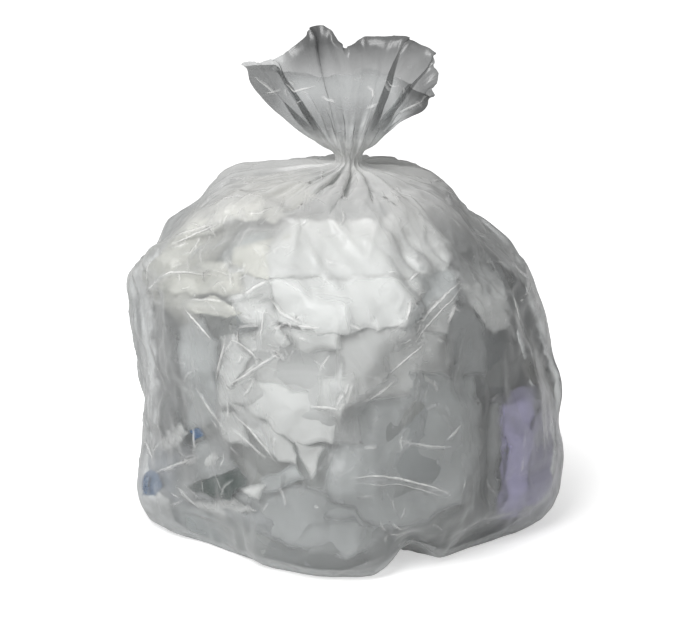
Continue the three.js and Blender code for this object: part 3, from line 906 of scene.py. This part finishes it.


# Sharp creases that the photograph shows, each a thin ridge painted white as its highlight: points in pixels,
# width in millimetres, and cover
CREASES = (
    (((463, 279), (430, 312), (391, 350)), 2.4, 1.00),
    (((462, 286), (436, 316), (404, 350)), 2.4, 0.92),
    (((143, 295), (157, 281), (170, 272), (188, 272), (222, 276)), 3.0, 1.00),
    (((152, 261), (146, 282)), 2.7, 0.92),
    (((171, 244), (196, 233), (221, 223)), 3.0, 1.00),
    (((176, 235), (214, 222)), 4.1, 0.69),
    (((182, 305), (198, 324), (214, 342)), 3.0, 1.00),
    (((183, 301), (205, 300), (226, 302)), 2.7, 0.80),
    (((242, 294), (256, 286), (268, 280)), 4.1, 1.00),
    (((263, 311), (261, 341)), 2.7, 0.92),
    (((226, 335), (222, 352), (215, 381)), 3.0, 0.80),
    (((228, 336), (249, 350), (262, 363)), 2.7, 0.69),
    (((282, 351), (262, 363), (227, 386)), 3.0, 0.80),
    (((331, 354), (319, 372)), 2.7, 0.69),
    (((308, 406), (342, 409)), 3.0, 0.80),
    (((350, 383), (337, 407)), 3.0, 0.80),
    (((227, 407), (265, 447), (278, 464)), 3.0, 0.69),
    (((348, 478), (370, 476), (398, 478), (430, 486), (453, 496)), 3.2, 1.00),
    (((352, 482), (398, 484), (445, 497)), 2.4, 0.69),
    (((361, 403), (378, 395), (397, 378)), 2.7, 0.92),
    (((387, 377), (412, 354), (428, 340)), 2.4, 0.80),
    (((340, 413), (354, 383)), 3.0, 0.69),
    (((446, 441), (462, 423)), 4.1, 0.69),
    (((400, 440), (430, 446), (453, 446)), 3.2, 0.57),
    (((509, 291), (516, 308), (523, 332)), 4.3, 0.92),
    (((528, 275), (522, 297)), 2.7, 0.80),
    (((469, 229), (480, 236), (492, 241)), 2.7, 0.80),
    (((443, 191), (457, 198)), 2.7, 0.57),
    (((432, 181), (441, 180)), 3.2, 0.80),
    (((407, 322), (412, 301)), 2.7, 0.80),
    (((408, 282), (421, 272)), 4.1, 0.92),
    (((384, 272), (402, 275)), 2.7, 0.57),
    (((347, 324), (362, 331)), 2.7, 0.69),
    (((457, 304), (448, 325)), 3.0, 0.80),
    (((217, 190), (258, 184)), 4.1, 0.57),
    (((223, 179), (268, 176)), 3.2, 0.57),
    (((204, 207), (264, 197)), 4.1, 0.69),
    (((144, 441), (154, 462)), 4.1, 0.80),
    (((155, 472), (200, 456)), 5.4, 0.57),
    (((178, 488), (200, 508)), 4.1, 0.57),
    (((230, 427), (267, 458)), 3.2, 0.57),
    (((389, 534), (410, 531)), 3.2, 0.92),
    (((296, 325), (322, 328)), 3.0, 0.69),
    (((267, 294), (281, 314), (302, 325)), 4.1, 0.69),
    (((194, 386), (210, 410), (226, 433)), 5.4, 0.57),
    (((356, 49), (371, 71)), 2.4, 0.80),
    (((397, 62), (407, 41)), 2.4, 0.80),
    (((285, 82), (294, 92), (304, 89), (316, 86)), 2.7, 0.80),
    (((320, 97), (336, 103)), 2.4, 0.69),
    (((397, 113), (424, 100)), 2.7, 0.69),
    (((253, 76), (278, 96)), 2.7, 0.57),
)
# Where the photograph shows crumpled film: middle and reach in pixels, and how many small creases
CRUMPLED = (
    (205, 255, 45, 26),
    (270, 352, 48, 24),
    (425, 310, 34, 14),
    (205, 470, 42, 14),
    (300, 182, 50, 12),
    (395, 190, 34, 8),
    (518, 305, 18, 6),
    (300, 88, 34, 9),
    (390, 80, 34, 9),
    (400, 520, 40, 8),
)
FACET_SHARE = 0.3
FACET_COVER = 1.7
CREASE_SEED = 31
CREASE_STEP = 0.003
CREASE_RISE = 0.45
CREASE_SLACK = 0.01
CREASE_SKIRT = 0.0045


def rib(bm, tree, points, width, cover, skirt):
    """A thin ridge along points of the film, steep on one side, that runs out to nothing at both ends."""
    layer = bm.verts.layers.float["cover"]
    between = [a.lerp(b, share) for a, b in zip(points, points[1:]) for share in (0.25, 0.5, 0.75)]
    if max(tree.find_nearest(spot)[3] for spot in between) > CREASE_SLACK:
        return
    lengths = [(b - a).length for a, b in zip(points, points[1:])]
    whole = sum(lengths)
    count = max(6, round(whole / CREASE_STEP))
    path = []
    for step in range(count + 1):
        left = whole * step / count
        leg = 0
        while leg < len(lengths) - 1 and left > lengths[leg]:
            left -= lengths[leg]
            leg += 1
        path.append(points[leg].lerp(points[leg + 1], left / lengths[leg]))
    rings = []
    for step, spot in enumerate(path):
        near, normal = tree.find_nearest(spot)[:2]
        along = path[min(step + 1, count)] - path[max(step - 1, 0)]
        aside = normal.cross(along).normalized()
        share = math.sqrt(max(0, math.sin(math.pi * step / count)))
        half = width / 2 * (0.15 + 0.85 * share)
        crest = bm.verts.new(near + normal * CREASE_RISE * half)
        crest[layer] = cover * share
        feet = []
        wide = max(half, min(abs(half * skirt), CREASE_SKIRT))
        for way in (-half, wide) if skirt > 0 else (-wide, half):
            foot, out = tree.find_nearest(near + aside * way)[:2]
            feet.append(bm.verts.new(foot + out * 0.12 * half))
        rings.append((feet[0], crest, feet[1]))
    for (a, b, c), (d, e, f) in zip(rings, rings[1:]):
        for quad in ((a, b, e, d), (b, c, f, e), (c, a, d, f)):
            bm.faces.new(quad)


def facet_edges(size):
    """Ends of the edges between the facets of a crumpled sheet, and how sharply each one is bent outwards."""
    corners, triangles = crumpled_map(*size)
    bm = bmesh.new()
    made = [bm.verts.new((u, v, FACET_HEIGHT * height)) for u, v, height in corners]
    for triangle in triangles:
        bm.faces.new([made[corner] for corner in triangle])
    bm.normal_update()
    found = []
    for edge in bm.edges:
        a, b = (vertex.co.copy() for vertex in edge.verts)
        if len(edge.link_faces) == 2 and 0 <= a.x < MAP_WIDTH:
            turn = edge.link_faces[0].normal.angle(edge.link_faces[1].normal)
            found.append((a, b, turn if edge.is_convex else -turn))
    bm.free()
    return found


def drawn_creases(bm, tree, stage, rng):
    """The creases that the photograph shows one by one."""
    for pixels, width, cover in CREASES:
        hits = [seen_at(tree, stage, *pixel) for pixel in pixels]
        if None not in hits:
            rib(bm, tree, hits, width * MILLIMETRE, cover, rng.choice((-1, 1)) * rng.uniform(1, 6))


def crumpled_creases(bm, tree, stage, rng):
    """Small bent creases where the photograph shows crumpled film."""
    for x, y, reach, count in CRUMPLED:
        for _ in range(count):
            at = Vector((x + rng.gauss(0, 0.5) * reach, y + rng.gauss(0, 0.5) * reach))
            turn, bend = rng.uniform(0, math.pi), rng.gauss(0, 0.5)
            length = rng.uniform(0.2, 0.6) * reach
            ways = (Vector((0, 0)), Vector((math.cos(turn), math.sin(turn))) * length / 2)
            ways += (ways[1] + Vector((math.cos(turn + bend), math.sin(turn + bend))) * length / 2,)
            width, cover, skirt = rng.uniform(0.001, 0.002), rng.uniform(0.25, 0.7), rng.uniform(2, 9)
            hits = [seen_at(tree, stage, *(at + way)) for way in ways]
            if None not in hits and max((a - b).length for a, b in zip(hits, hits[1:])) < 0.04:
                rib(bm, tree, hits, width, cover, rng.choice((-1, 1)) * skirt)


def facet_creases(bm, tree, mesh, rng):
    """Creases along some of the sharp edges between the film's facets."""
    spots = vertex_array(mesh, "co")
    _, grid = film_map(mesh)
    for size in (BROAD_FACETS, FINE_FACETS):
        for a, b, turn in facet_edges(size):
            low, high = sorted((a.y / MAP_HEIGHT, b.y / MAP_HEIGHT))
            draw, skirt = rng.random(), rng.choice((-1, 1)) * rng.uniform(2, 9)
            first, last = rng.uniform(0, 0.3), rng.uniform(0.7, 1)
            if turn < 0.04 or draw > FACET_SHARE or low < 0.2 or high > 0.7:
                continue
            hits = []
            for share in (first, (first + last) / 2, last):
                u, v = a.lerp(b, share).xy
                hits.append(Vector(spots[grid[crossing(u / MAP_WIDTH, v / MAP_HEIGHT)]]))
            if min((p - q).length for p, q in zip(hits, hits[1:])) > 0.001:
                rib(bm, tree, hits, rng.uniform(0.0008, 0.0018), min(0.6, FACET_COVER * turn), skirt)


class LINER_OT_creases(bpy.types.Operator):
    """Makes the sharp creases of the film, painted white as their highlights"""

    bl_idname = "liner.creases"
    bl_label = "Creases"

    def execute(self, context):
        stage = context.scene.liner_stage
        mesh = bpy.data.objects["film"].data
        tree = tree_of(mesh)
        bm = bmesh.new()
        bm.verts.layers.float.new("cover")
        rng = random.Random(CREASE_SEED)
        drawn_creases(bm, tree, stage, rng)
        crumpled_creases(bm, tree, stage, rng)
        facet_creases(bm, tree, mesh, rng)
        bmesh.ops.recalc_face_normals(bm, faces=bm.faces)
        settle(as_object(bm, "creases"), "liner", crease_highlight_material())
        return {"FINISHED"}


# The rubbish: outlines are places in the photograph, in pixels, put on the film that the camera sees there


GRAIN = 3.0
SHEET = 0.0007
TORN = 1.6
FOLD_SHARE = 1.5
SOFT_EDGE = 2.4
CRISP_EDGE = 1.1
SMALL = 7
PAD_EDGE = 0.3
SCRAP_SEED, HEAP_SEED = 100, 77
BACK_SEED, BACK_SCRAPS, BACK_GRAIN = 5, 60, 1.1
CENTRE = Vector((-0.008, 0, 0.17))

SCRAPS = {
    "folded_sheet": ("paper", 0.95, 0, (
        (3, 1.0, 12, [(266, 240), (300, 216), (418, 213), (450, 238), (454, 277), (266, 278)]),
        (4, 1.0, 12, [(262, 276), (436, 271), (408, 328), (310, 337), (280, 322)]),
    )),
    "crumpled_paper": ("paper", 0.85, 0.2, (
        (4, 1.0, 16, [(226, 335), (246, 358), (224, 394), (214, 374)]),
        (5, 0.93, 16, [(263, 311), (287, 345), (262, 364), (246, 352)]),
        (5, 1.0, 22, [(218, 395), (250, 380), (300, 393), (336, 408), (331, 445), (290, 446)]),
        (6, 0.93, 18, [(218, 397), (290, 444), (294, 470), (272, 462), (240, 430)]),
        (7, 0.8, 18, [(287, 442), (322, 452), (310, 484)]),
        (3.5, 1.0, 18, [(301, 358), (331, 353), (322, 373)]),
    )),
    "cream_wrapping": ("cream", 0.95, 0, (
        # The next two cream scraps are brightened as a painted highlight on the left shoulder.
        (2.5, 1.2, 16, [(172, 238), (194, 213), (219, 219), (206, 231)]),
        (3, 1.15, 16, [(205, 222), (219, 199), (266, 196), (252, 216)]),
        (6, 1.0, 14, [(145, 293), (153, 276), (172, 269), (226, 266), (228, 288), (196, 294)]),
        (4, 1.05, 12, [(181, 303), (210, 296), (240, 312), (219, 319), (193, 315)]),
        (8, 0.95, 20, [(218, 200), (236, 176), (300, 172), (318, 190), (268, 214)]),
        (5, 1.05, 20, [(226, 270), (229, 246), (262, 236), (292, 232), (267, 280)]),
    )),
    "tissue": ("paper", 0.85, 0.4, (
        (4, 0.95, 18, [(467, 280), (499, 278), (511, 290), (518, 315), (504, 338), (488, 322)]),
        (6, 0.85, 18, [(508, 288), (516, 296), (527, 334), (521, 340)]),
    )),
    "lilac_pouch": ("lilac", 1.0, 0.7, (
        (4, 1.2, 30, [
            (507, 410), (526, 394), (550, 384), (561, 408), (564, 445), (561, 480), (548, 508), (530, 519),
            (508, 523),
        ]),
        (2.5, 1.5, 20, [(511, 405), (534, 398), (546, 420), (540, 470), (520, 515), (511, 516)]),
        (2.5, 0.9, 20, [(541, 420), (552, 404), (560, 420), (561, 455), (552, 485), (530, 506)]),
    )),
    "blue_wrapper": ("blue", 1.0, 0.85, (
        (1.2, 0.9, 14, [(133, 482), (140, 472), (152, 473), (156, 485), (150, 497), (139, 497)]),
        (1.2, 0.9, 14, [(184, 431), (195, 428), (198, 437), (190, 442)]),
    )),
    "green_packet": ("green", 1.0, 0.9, (
        (1.5, 0.5, 16, [(182, 486), (232, 471), (246, 482), (226, 501), (200, 495)]),
    )),
}

LOOSE = (
    ("paper", 4, 1.0, 12, [(231, 488), (264, 486), (254, 503)]),
    ("paper", 6, 0.85, 14, [(165, 471), (205, 452), (214, 462), (180, 481)]),
    ("paper", 7, 0.8, 14, [(180, 506), (225, 500), (252, 515), (215, 523)]),
    ("paper", 5, 0.9, 12, [(148, 442), (175, 425), (183, 436), (160, 453)]),
    ("waste", 6, 1.7, 14, [(255, 480), (290, 470), (300, 482), (262, 497)]),
    ("paper", 5, 0.92, 18, [(388, 188), (412, 184), (434, 208), (442, 234), (412, 231), (392, 212)]),
    ("waste", 7, 1.6, 30, [(168, 332), (190, 322), (212, 345), (210, 420), (172, 432)]),
    # Painted shade: a dark scrap along the left edge.
    ("waste", 3, 0.5, 20, [(142, 300), (160, 312), (172, 345), (170, 425), (148, 440)]),
    ("waste", 5, 2.2, 14, [(420, 268), (464, 272), (460, 300), (440, 322), (408, 330)]),
    ("waste", 6, 1.1, 14, [(172, 470), (190, 447), (214, 436), (228, 470), (205, 504), (164, 500)]),
    ("waste", 5, 1.35, 60, [
        (330, 434), (353, 406), (399, 376), (478, 378), (486, 440), (478, 505), (420, 538), (325, 520),
    ]),
    # Painted shade: the next three dark scraps, on the right shoulder and down the right edge.
    ("waste", 9, 0.5, 30, [(434, 178), (472, 215), (512, 255), (500, 274), (464, 268), (444, 225)]),
    ("waste", 4, 0.4, 26, [(520, 275), (536, 280), (548, 345), (552, 375), (530, 372)]),
    ("waste", 3, 0.4, 20, [(538, 325), (550, 332), (561, 385), (561, 412), (548, 398)]),
    ("waste", 5, 1.0, 26, [(452, 300), (478, 312), (492, 330), (492, 376), (456, 378)]),
    ("cream", 2, 0.25, 12, [(526, 362), (541, 358), (551, 380), (540, 386), (530, 376)]),
    # Painted shade: a dark scrap in the fold left of the pouch.
    ("waste", 2.5, 0.6, 20, [(484, 425), (496, 402), (506, 404), (506, 520), (492, 522), (486, 470)]),
    ("paper", 4.5, 0.72, 26, [(335, 336), (400, 324), (470, 324), (474, 386), (352, 408)]),
    ("paper", 6, 0.75, 16, [(400, 332), (440, 300), (462, 288), (458, 335)]),
    ("paper", 5, 0.95, 14, [(230, 300), (262, 296), (280, 318), (264, 330), (238, 322)]),
    ("paper", 4, 1.0, 14, [(286, 332), (335, 328), (341, 350), (300, 357)]),
    ("paper", 4, 0.95, 14, [(321, 380), (352, 376), (360, 402), (338, 418), (320, 410)]),
    ("paper", 6, 0.85, 14, [(208, 408), (238, 420), (244, 446), (214, 442)]),
    ("cream", 4, 1.1, 14, [(198, 264), (234, 260), (238, 290), (202, 294)]),
    ("paper", 5, 0.85, 16, [(222, 266), (268, 260), (268, 298), (240, 304), (222, 298)]),
    ("paper", 9, 0.8, 26, [(212, 340), (300, 328), (352, 330), (350, 395), (320, 400), (212, 412)]),
    ("paper", 8, 0.8, 26, [(212, 340), (246, 356), (250, 382), (226, 412), (206, 400)]),
    # Painted light: a pale scrap low at the front, over the shade of the film that curves under there.
    ("waste", 8, 1.25, 30, [(165, 500), (300, 488), (352, 512), (400, 545), (345, 566), (225, 542)]),
)


def middle_of(outline):
    """The middle of an outline's corners."""
    return sum((Vector(corner) for corner in outline), Vector((0, 0))) / len(outline)


def outward_sides(outline):
    """A corner and the outward direction of each side of a convex outline."""
    middle = middle_of(outline).to_3d()
    for (ax, ay), (bx, by) in zip(outline, outline[1:] + outline[:1]):
        corner, out = Vector((ax, ay, 0)), Vector((by - ay, ax - bx, 0)).normalized()
        yield corner, -out if (middle - corner).dot(out) > 0 else out


def polygon_patch(outline, sides, grain):
    """A flat grid that is trimmed to the sides of a convex outline."""
    low, high = (Vector((*map(end, zip(*outline)), 0)) for end in (min, max))
    span = high - low
    across, up = (max(2, round(size / grain)) for size in span.xy)
    bm = bmesh.new()
    bmesh.ops.create_grid(bm, x_segments=across, y_segments=up, size=0.5)
    bmesh.ops.scale(bm, vec=(span.x, span.y, 1), verts=bm.verts)
    bmesh.ops.translate(bm, vec=(low + high) / 2, verts=bm.verts)
    for corner, out in sides:
        everything = [*bm.verts, *bm.edges, *bm.faces]
        bmesh.ops.bisect_plane(bm, geom=everything, dist=1e-4, plane_co=corner, plane_no=out, clear_outer=True)
    return bm


def lay_under_film(bm, tree, ray, depth, fold, spacing, seed, grain):
    """Puts a flat patch on the inside of the film, sunk and crumpled."""
    field = crease_field(seed, PHOTO[0], PHOTO[1], spacing, spacing)
    for vertex in bm.verts:
        x, y = vertex.co.x, vertex.co.y
        torn = Vector((x, y, 7.3 * seed * grain)) * 0.2 / grain
        start, along = ray(x + TORN * grain * noise.noise(torn), y + TORN * grain * noise.noise(torn.yxz))
        hit = tree.ray_cast(start, along)[0]
        if hit is None:
            hit = tree.find_nearest(start + along * (CENTRE - start).dot(along))[0]
        inward = (Vector((CENTRE.x, CENTRE.y, min(max(hit.z, 0.08), 0.25))) - hit).normalized()
        vertex.co = hit + inward * (depth + fold * crease(field, x, y)) * MILLIMETRE


def scrap(tree, ray, depth, tone, spacing, outline, seed, unit=GRAIN, edge=SOFT_EDGE):
    """One crumpled scrap under the film, with its tone, and its cover, which is none at its edge."""
    middle = middle_of(outline)
    ways = [Vector(corner) - middle for corner in outline]
    grain = min(unit, min(way.length for way in ways) / SMALL)
    outline = [tuple(middle + way + way.normalized() * edge / 2 * grain) for way in ways]
    sides = list(outward_sides(outline))
    bm = polygon_patch(outline, sides, grain)
    cover = bm.verts.layers.float.new("cover")
    for vertex in bm.verts:
        inside = min((corner - vertex.co).dot(out) for corner, out in sides)
        vertex[cover] = clamp(inside / (edge * grain))
    lay_under_film(bm, tree, ray, depth, FOLD_SHARE * spacing / unit, spacing, seed, grain)
    bm.normal_update()
    if sum(face.normal.dot(face.calc_center_median() - CENTRE) for face in bm.faces) < 0:
        bmesh.ops.reverse_faces(bm, faces=bm.faces)
    layer = bm.verts.layers.float.new("tone")
    for vertex in bm.verts:
        vertex[layer] = tone
    return bm


def merged(parts):
    """One bmesh of several, which are freed."""
    kept = bpy.data.meshes.new("kept")
    whole = bmesh.new()
    for name in ("tone", "cover", "drab"):
        whole.verts.layers.float.new(name)
    for part in parts:
        part.to_mesh(kept)
        part.free()
        whole.from_mesh(kept)
    bpy.data.meshes.remove(kept)
    return whole


def joined(sheets, solids, name):
    """One object of thin sheets, which are given a thickness, and of solids."""
    obj = as_object(merged(sheets), name)
    wall = obj.modifiers.new("Solidify", "SOLIDIFY")
    wall.thickness = SHEET
    wall.offset = -1
    apply_modifiers(obj)
    thick = bmesh.new()
    thick.from_mesh(obj.data)
    merged([thick, *solids]).to_mesh(obj.data)
    obj.data.set_sharp_from_angle(angle=SHARP)
    return obj


def round_ray(azimuth, elevation):
    """Line of sight from outside towards the middle of the bag."""
    a, e = math.radians(azimuth), math.radians(elevation)
    out = Vector((math.sin(a) * math.cos(e), -math.cos(a) * math.cos(e), math.sin(e)))
    return CENTRE + out, -out


def turn_of(spot):
    """Azimuth from the front and elevation of a spot, seen from the middle of the bag, in degrees."""
    out = spot - CENTRE
    return math.degrees(math.atan2(out.x, -out.y)), math.degrees(math.asin(out.normalized().z))


def crumple(obj, seed, spacing, sink, depth):
    """Sinks a piece and presses sharp facets into it, so that it stays inside its own solid."""
    broad = crease_field(seed, 360, 180, spacing, spacing)
    fine = crease_field(seed + 1, 360, 180, spacing / 3, spacing / 3)
    normals = [v.normal.copy() for v in obj.data.vertices]
    for vertex, normal in zip(obj.data.vertices, normals):
        azimuth, elevation = turn_of(vertex.co)
        at = azimuth % 360, elevation + 90
        fold = 0.78 * crease(broad, *at) + 0.22 * crease(fine, *at)
        share = clamp((vertex.co.z - 0.004) / 0.05)
        vertex.co -= normal * (sink + depth * fold) * share


def pad_part(node, tone, drab, seed):
    """A crumpled copy of a CAD pad, a little inside it, as the back of what shows."""
    bm = node_copy(node)
    bmesh.ops.subdivide_edges(bm, edges=bm.edges, cuts=3, use_grid_fill=True)
    values = {"tone": tone, "cover": 1, "drab": drab}
    layers = {name: bm.verts.layers.float.new(name) for name in values}
    turns = {vertex: turn_of(vertex.co) for vertex in bm.verts}
    spans = [(min(found), max(found)) for found in zip(*turns.values())]
    for vertex, turn in turns.items():
        inside = min(min(at - low, high - at) / (high - low) for at, (low, high) in zip(turn, spans))
        values["cover"] = clamp(inside / PAD_EDGE)
        for name, layer in layers.items():
            vertex[layer] = values[name]
    pad = as_object(bm, "pad")
    crumple(pad, seed, 9, 0.003, 0.008)
    made = bmesh.new()
    made.from_mesh(pad.data)
    bpy.data.objects.remove(pad)
    return made


def rubbish_materials(settings):
    """The finish of each kind of rubbish."""
    return {
        "paper": plain_material("white_paper", settings.paper, 0.8, 300, 0.0004, 0.94),
        "cream": plain_material("cream_paper", settings.cream, 0.7, 260, 0.0005, 0.9),
        "lilac": plain_material("lilac_film", settings.lilac, 0.45, 90, 0.0008),
        "blue": plain_material("blue_film", settings.blue, 0.4, 90, 0.0008),
        "green": plain_material("green_film", settings.green, 0.4, 90, 0.0008),
        "waste": plain_material("grey_film", settings.waste, 0.5, 120, 0.0008),
    }


class LINER_OT_rubbish(bpy.types.Operator):
    """Makes the papers, wrappers and packets that show through the film"""

    bl_idname = "liner.rubbish"
    bl_label = "Rubbish"

    def execute(self, context):
        materials = rubbish_materials(context.scene.liner_rubbish)
        stage = context.scene.liner_stage
        tree = tree_of(bpy.data.objects["film"].data, neck_height() - 0.005)

        def ray(x, y):
            return photo_ray(stage, x, y)

        seed = SCRAP_SEED
        for node, (kind, tone, drab, outlines) in SCRAPS.items():
            sheets = []
            for depth, shade, spacing, outline in outlines:
                seed += 1
                sheets.append(scrap(tree, ray, depth, shade, spacing, outline, seed, edge=CRISP_EDGE))
            piece = joined(sheets, [pad_part(node, tone, drab, seed)], "front_" + node)
            settle(piece, node, materials[kind])
        loose = {}
        for kind, depth, tone, spacing, outline in LOOSE:
            seed += 1
            loose.setdefault(kind, []).append(scrap(tree, ray, depth, tone, spacing, outline, seed))
        rng = random.Random(BACK_SEED)
        for _ in range(BACK_SCRAPS):
            azimuth, elevation = rng.uniform(105, 255), rng.uniform(-30, 60)
            size = rng.uniform(8, 20)
            turn = rng.uniform(0, math.tau)
            sides = rng.randint(4, 6)
            outline = []
            for side in range(sides):
                angle = turn + math.tau * (side + rng.uniform(-0.3, 0.3)) / sides
                outline.append((azimuth + size * math.cos(angle), elevation + size * math.sin(angle)))
            kind = rng.choice(("paper", "paper", "cream", "waste", "waste"))
            tone = rng.uniform(0.75, 1.0) * (2.2 if kind == "waste" else 1)
            seed += 1
            depth = rng.uniform(3, 9)
            spacing = rng.uniform(5, 9)
            part = scrap(tree, round_ray, depth, tone, spacing, outline, seed, BACK_GRAIN)
            loose.setdefault(kind, []).append(part)
        for kind, parts in loose.items():
            settle(joined(parts, [], "loose_" + kind), "mixed_waste", materials[kind])
        return {"FINISHED"}


class LINER_OT_waste(bpy.types.Operator):
    """Makes the heap of mixed rubbish inside"""

    bl_idname = "liner.waste"
    bl_label = "Mixed waste"

    def execute(self, context):
        bm = node_copy("mixed_waste")
        bmesh.ops.subdivide_edges(bm, edges=bm.edges, cuts=4, use_grid_fill=True)
        heap = as_object(bm, "heap")
        crumple(heap, HEAP_SEED, 6, 0.001, 0.006)
        spots = vertex_array(heap.data, "co")
        spots[:, 2] += notch_lift(spots)
        heap.data.vertices.foreach_set("co", spots.ravel())
        heap.data.set_sharp_from_angle(angle=SHARP)
        settle(heap, "mixed_waste", waste_material(context.scene.liner_rubbish.waste))
        return {"FINISHED"}


# The stage


def lamp(name, place, aim, size, power):
    """A soft square lamp that faces a point."""
    light = bpy.data.lights.new(name, "AREA")
    light.energy = power
    light.size = size
    obj = bpy.data.objects.new(name, light)
    bpy.context.scene.collection.objects.link(obj)
    obj.location = place
    obj.rotation_euler = (Vector(aim) - Vector(place)).to_track_quat("-Z", "Y").to_euler()


def background_seen(tree):
    """1 for the lines of sight that should meet a white background, and 0 for the light on the object."""
    path = add(tree, "ShaderNodeLightPath")
    seen = path.outputs["Is Camera Ray"]
    for other in ("Is Glossy Ray", "Is Transmission Ray"):
        seen = maths(tree, "MAXIMUM", seen, path.outputs[other])
    return seen


def floor_material():
    """A pale floor that runs out to white, and keeps the shadow close to the object: its glow is weaker near
    the object, which paints a soft shadow round the base.
    """
    material, tree, shader, _ = new_material("pale_floor")
    far = add(tree, "ShaderNodeVectorMath", {"operation": "LENGTH"}, i0=object_place(tree)).outputs["Value"]
    # Painted shadow: less glow near the object greys the floor round its base, more glow far off keeps it
    # white.
    glow = ranged(tree, far, 0.5, 0.88, 0.2, 0.42)
    lift = maths(tree, "MULTIPLY", glow, background_seen(tree))
    shader.inputs["Base Color"].default_value = (0.75, 0.75, 0.75, 1)
    shader.inputs["Roughness"].default_value = 0.9
    shader.inputs["Emission Color"].default_value = (1, 1, 1, 1)
    tree.links.new(lift, shader.inputs["Emission Strength"])
    return material


def studio_world(scene):
    """Even grey light from all round."""
    world = bpy.data.worlds.new("studio")
    scene.world = world
    world.use_nodes = True
    light = world.node_tree.nodes["Background"]
    light.inputs["Color"].default_value = (1, 1, 1, 1)
    light.inputs["Strength"].default_value = 0.24


class LINER_OT_stage(bpy.types.Operator):
    """Makes the floor, the lamps and the camera"""

    bl_idname = "liner.stage"
    bl_label = "Stage"

    def execute(self, context):
        scene = context.scene
        settings = scene.liner_stage
        scene.view_settings.view_transform = "Standard"
        rise, level = math.sin(settings.elevation), math.cos(settings.elevation)
        camera = bpy.data.objects.new("camera", bpy.data.cameras.new("camera"))
        scene.collection.objects.link(camera)
        camera.data.sensor_width = SENSOR
        camera.data.lens = settings.lens
        camera.location = AIM + settings.distance * Vector((0, -level, rise))
        camera.rotation_euler = (math.pi / 2 - settings.elevation, 0, 0)
        scene.camera = camera

        bm = bmesh.new()
        bmesh.ops.create_grid(bm, x_segments=2, y_segments=2, size=9)
        floor = as_object(bm, "floor")
        floor.data.materials.append(floor_material())
        studio_world(scene)
        lamp("key", (-1.2, -2.1, 2.6), (0, 0, 0.25), 2.0, 114)
        lamp("strip", (1.9, -1.2, 1.1), (0, 0, 0.25), 0.5, 2)
        return {"FINISHED"}


class LINER_PT_panel(bpy.types.Panel):
    """Lists the steps that make the liner"""

    bl_idname = "LINER_PT_panel"
    bl_label = "Bin liner"
    bl_space_type = "VIEW_3D"
    bl_region_type = "UI"
    bl_category = "Liner"

    def draw(self, context):
        for step in STEPS:
            self.layout.operator(step.bl_idname)


STEPS = (LINER_OT_stage, LINER_OT_film, LINER_OT_creases, LINER_OT_waste, LINER_OT_rubbish)
GROUPS = {"liner_film": FilmSettings, "liner_rubbish": RubbishSettings, "liner_stage": StageSettings}


def register():
    for cls in (*GROUPS.values(), *STEPS, LINER_PT_panel):
        bpy.utils.register_class(cls)
    for name, group in GROUPS.items():
        setattr(bpy.types.Scene, name, bpy.props.PointerProperty(type=group))


def unregister():
    for name in GROUPS:
        delattr(bpy.types.Scene, name)
    for cls in (LINER_PT_panel, *reversed(STEPS), *reversed(GROUPS.values())):
        bpy.utils.unregister_class(cls)


def main():
    register()
    bpy.ops.liner.stage()
    bpy.ops.liner.film()
    bpy.ops.liner.creases()
    bpy.ops.liner.waste()
    bpy.ops.liner.rubbish()


if __name__ == "__main__":
    main()
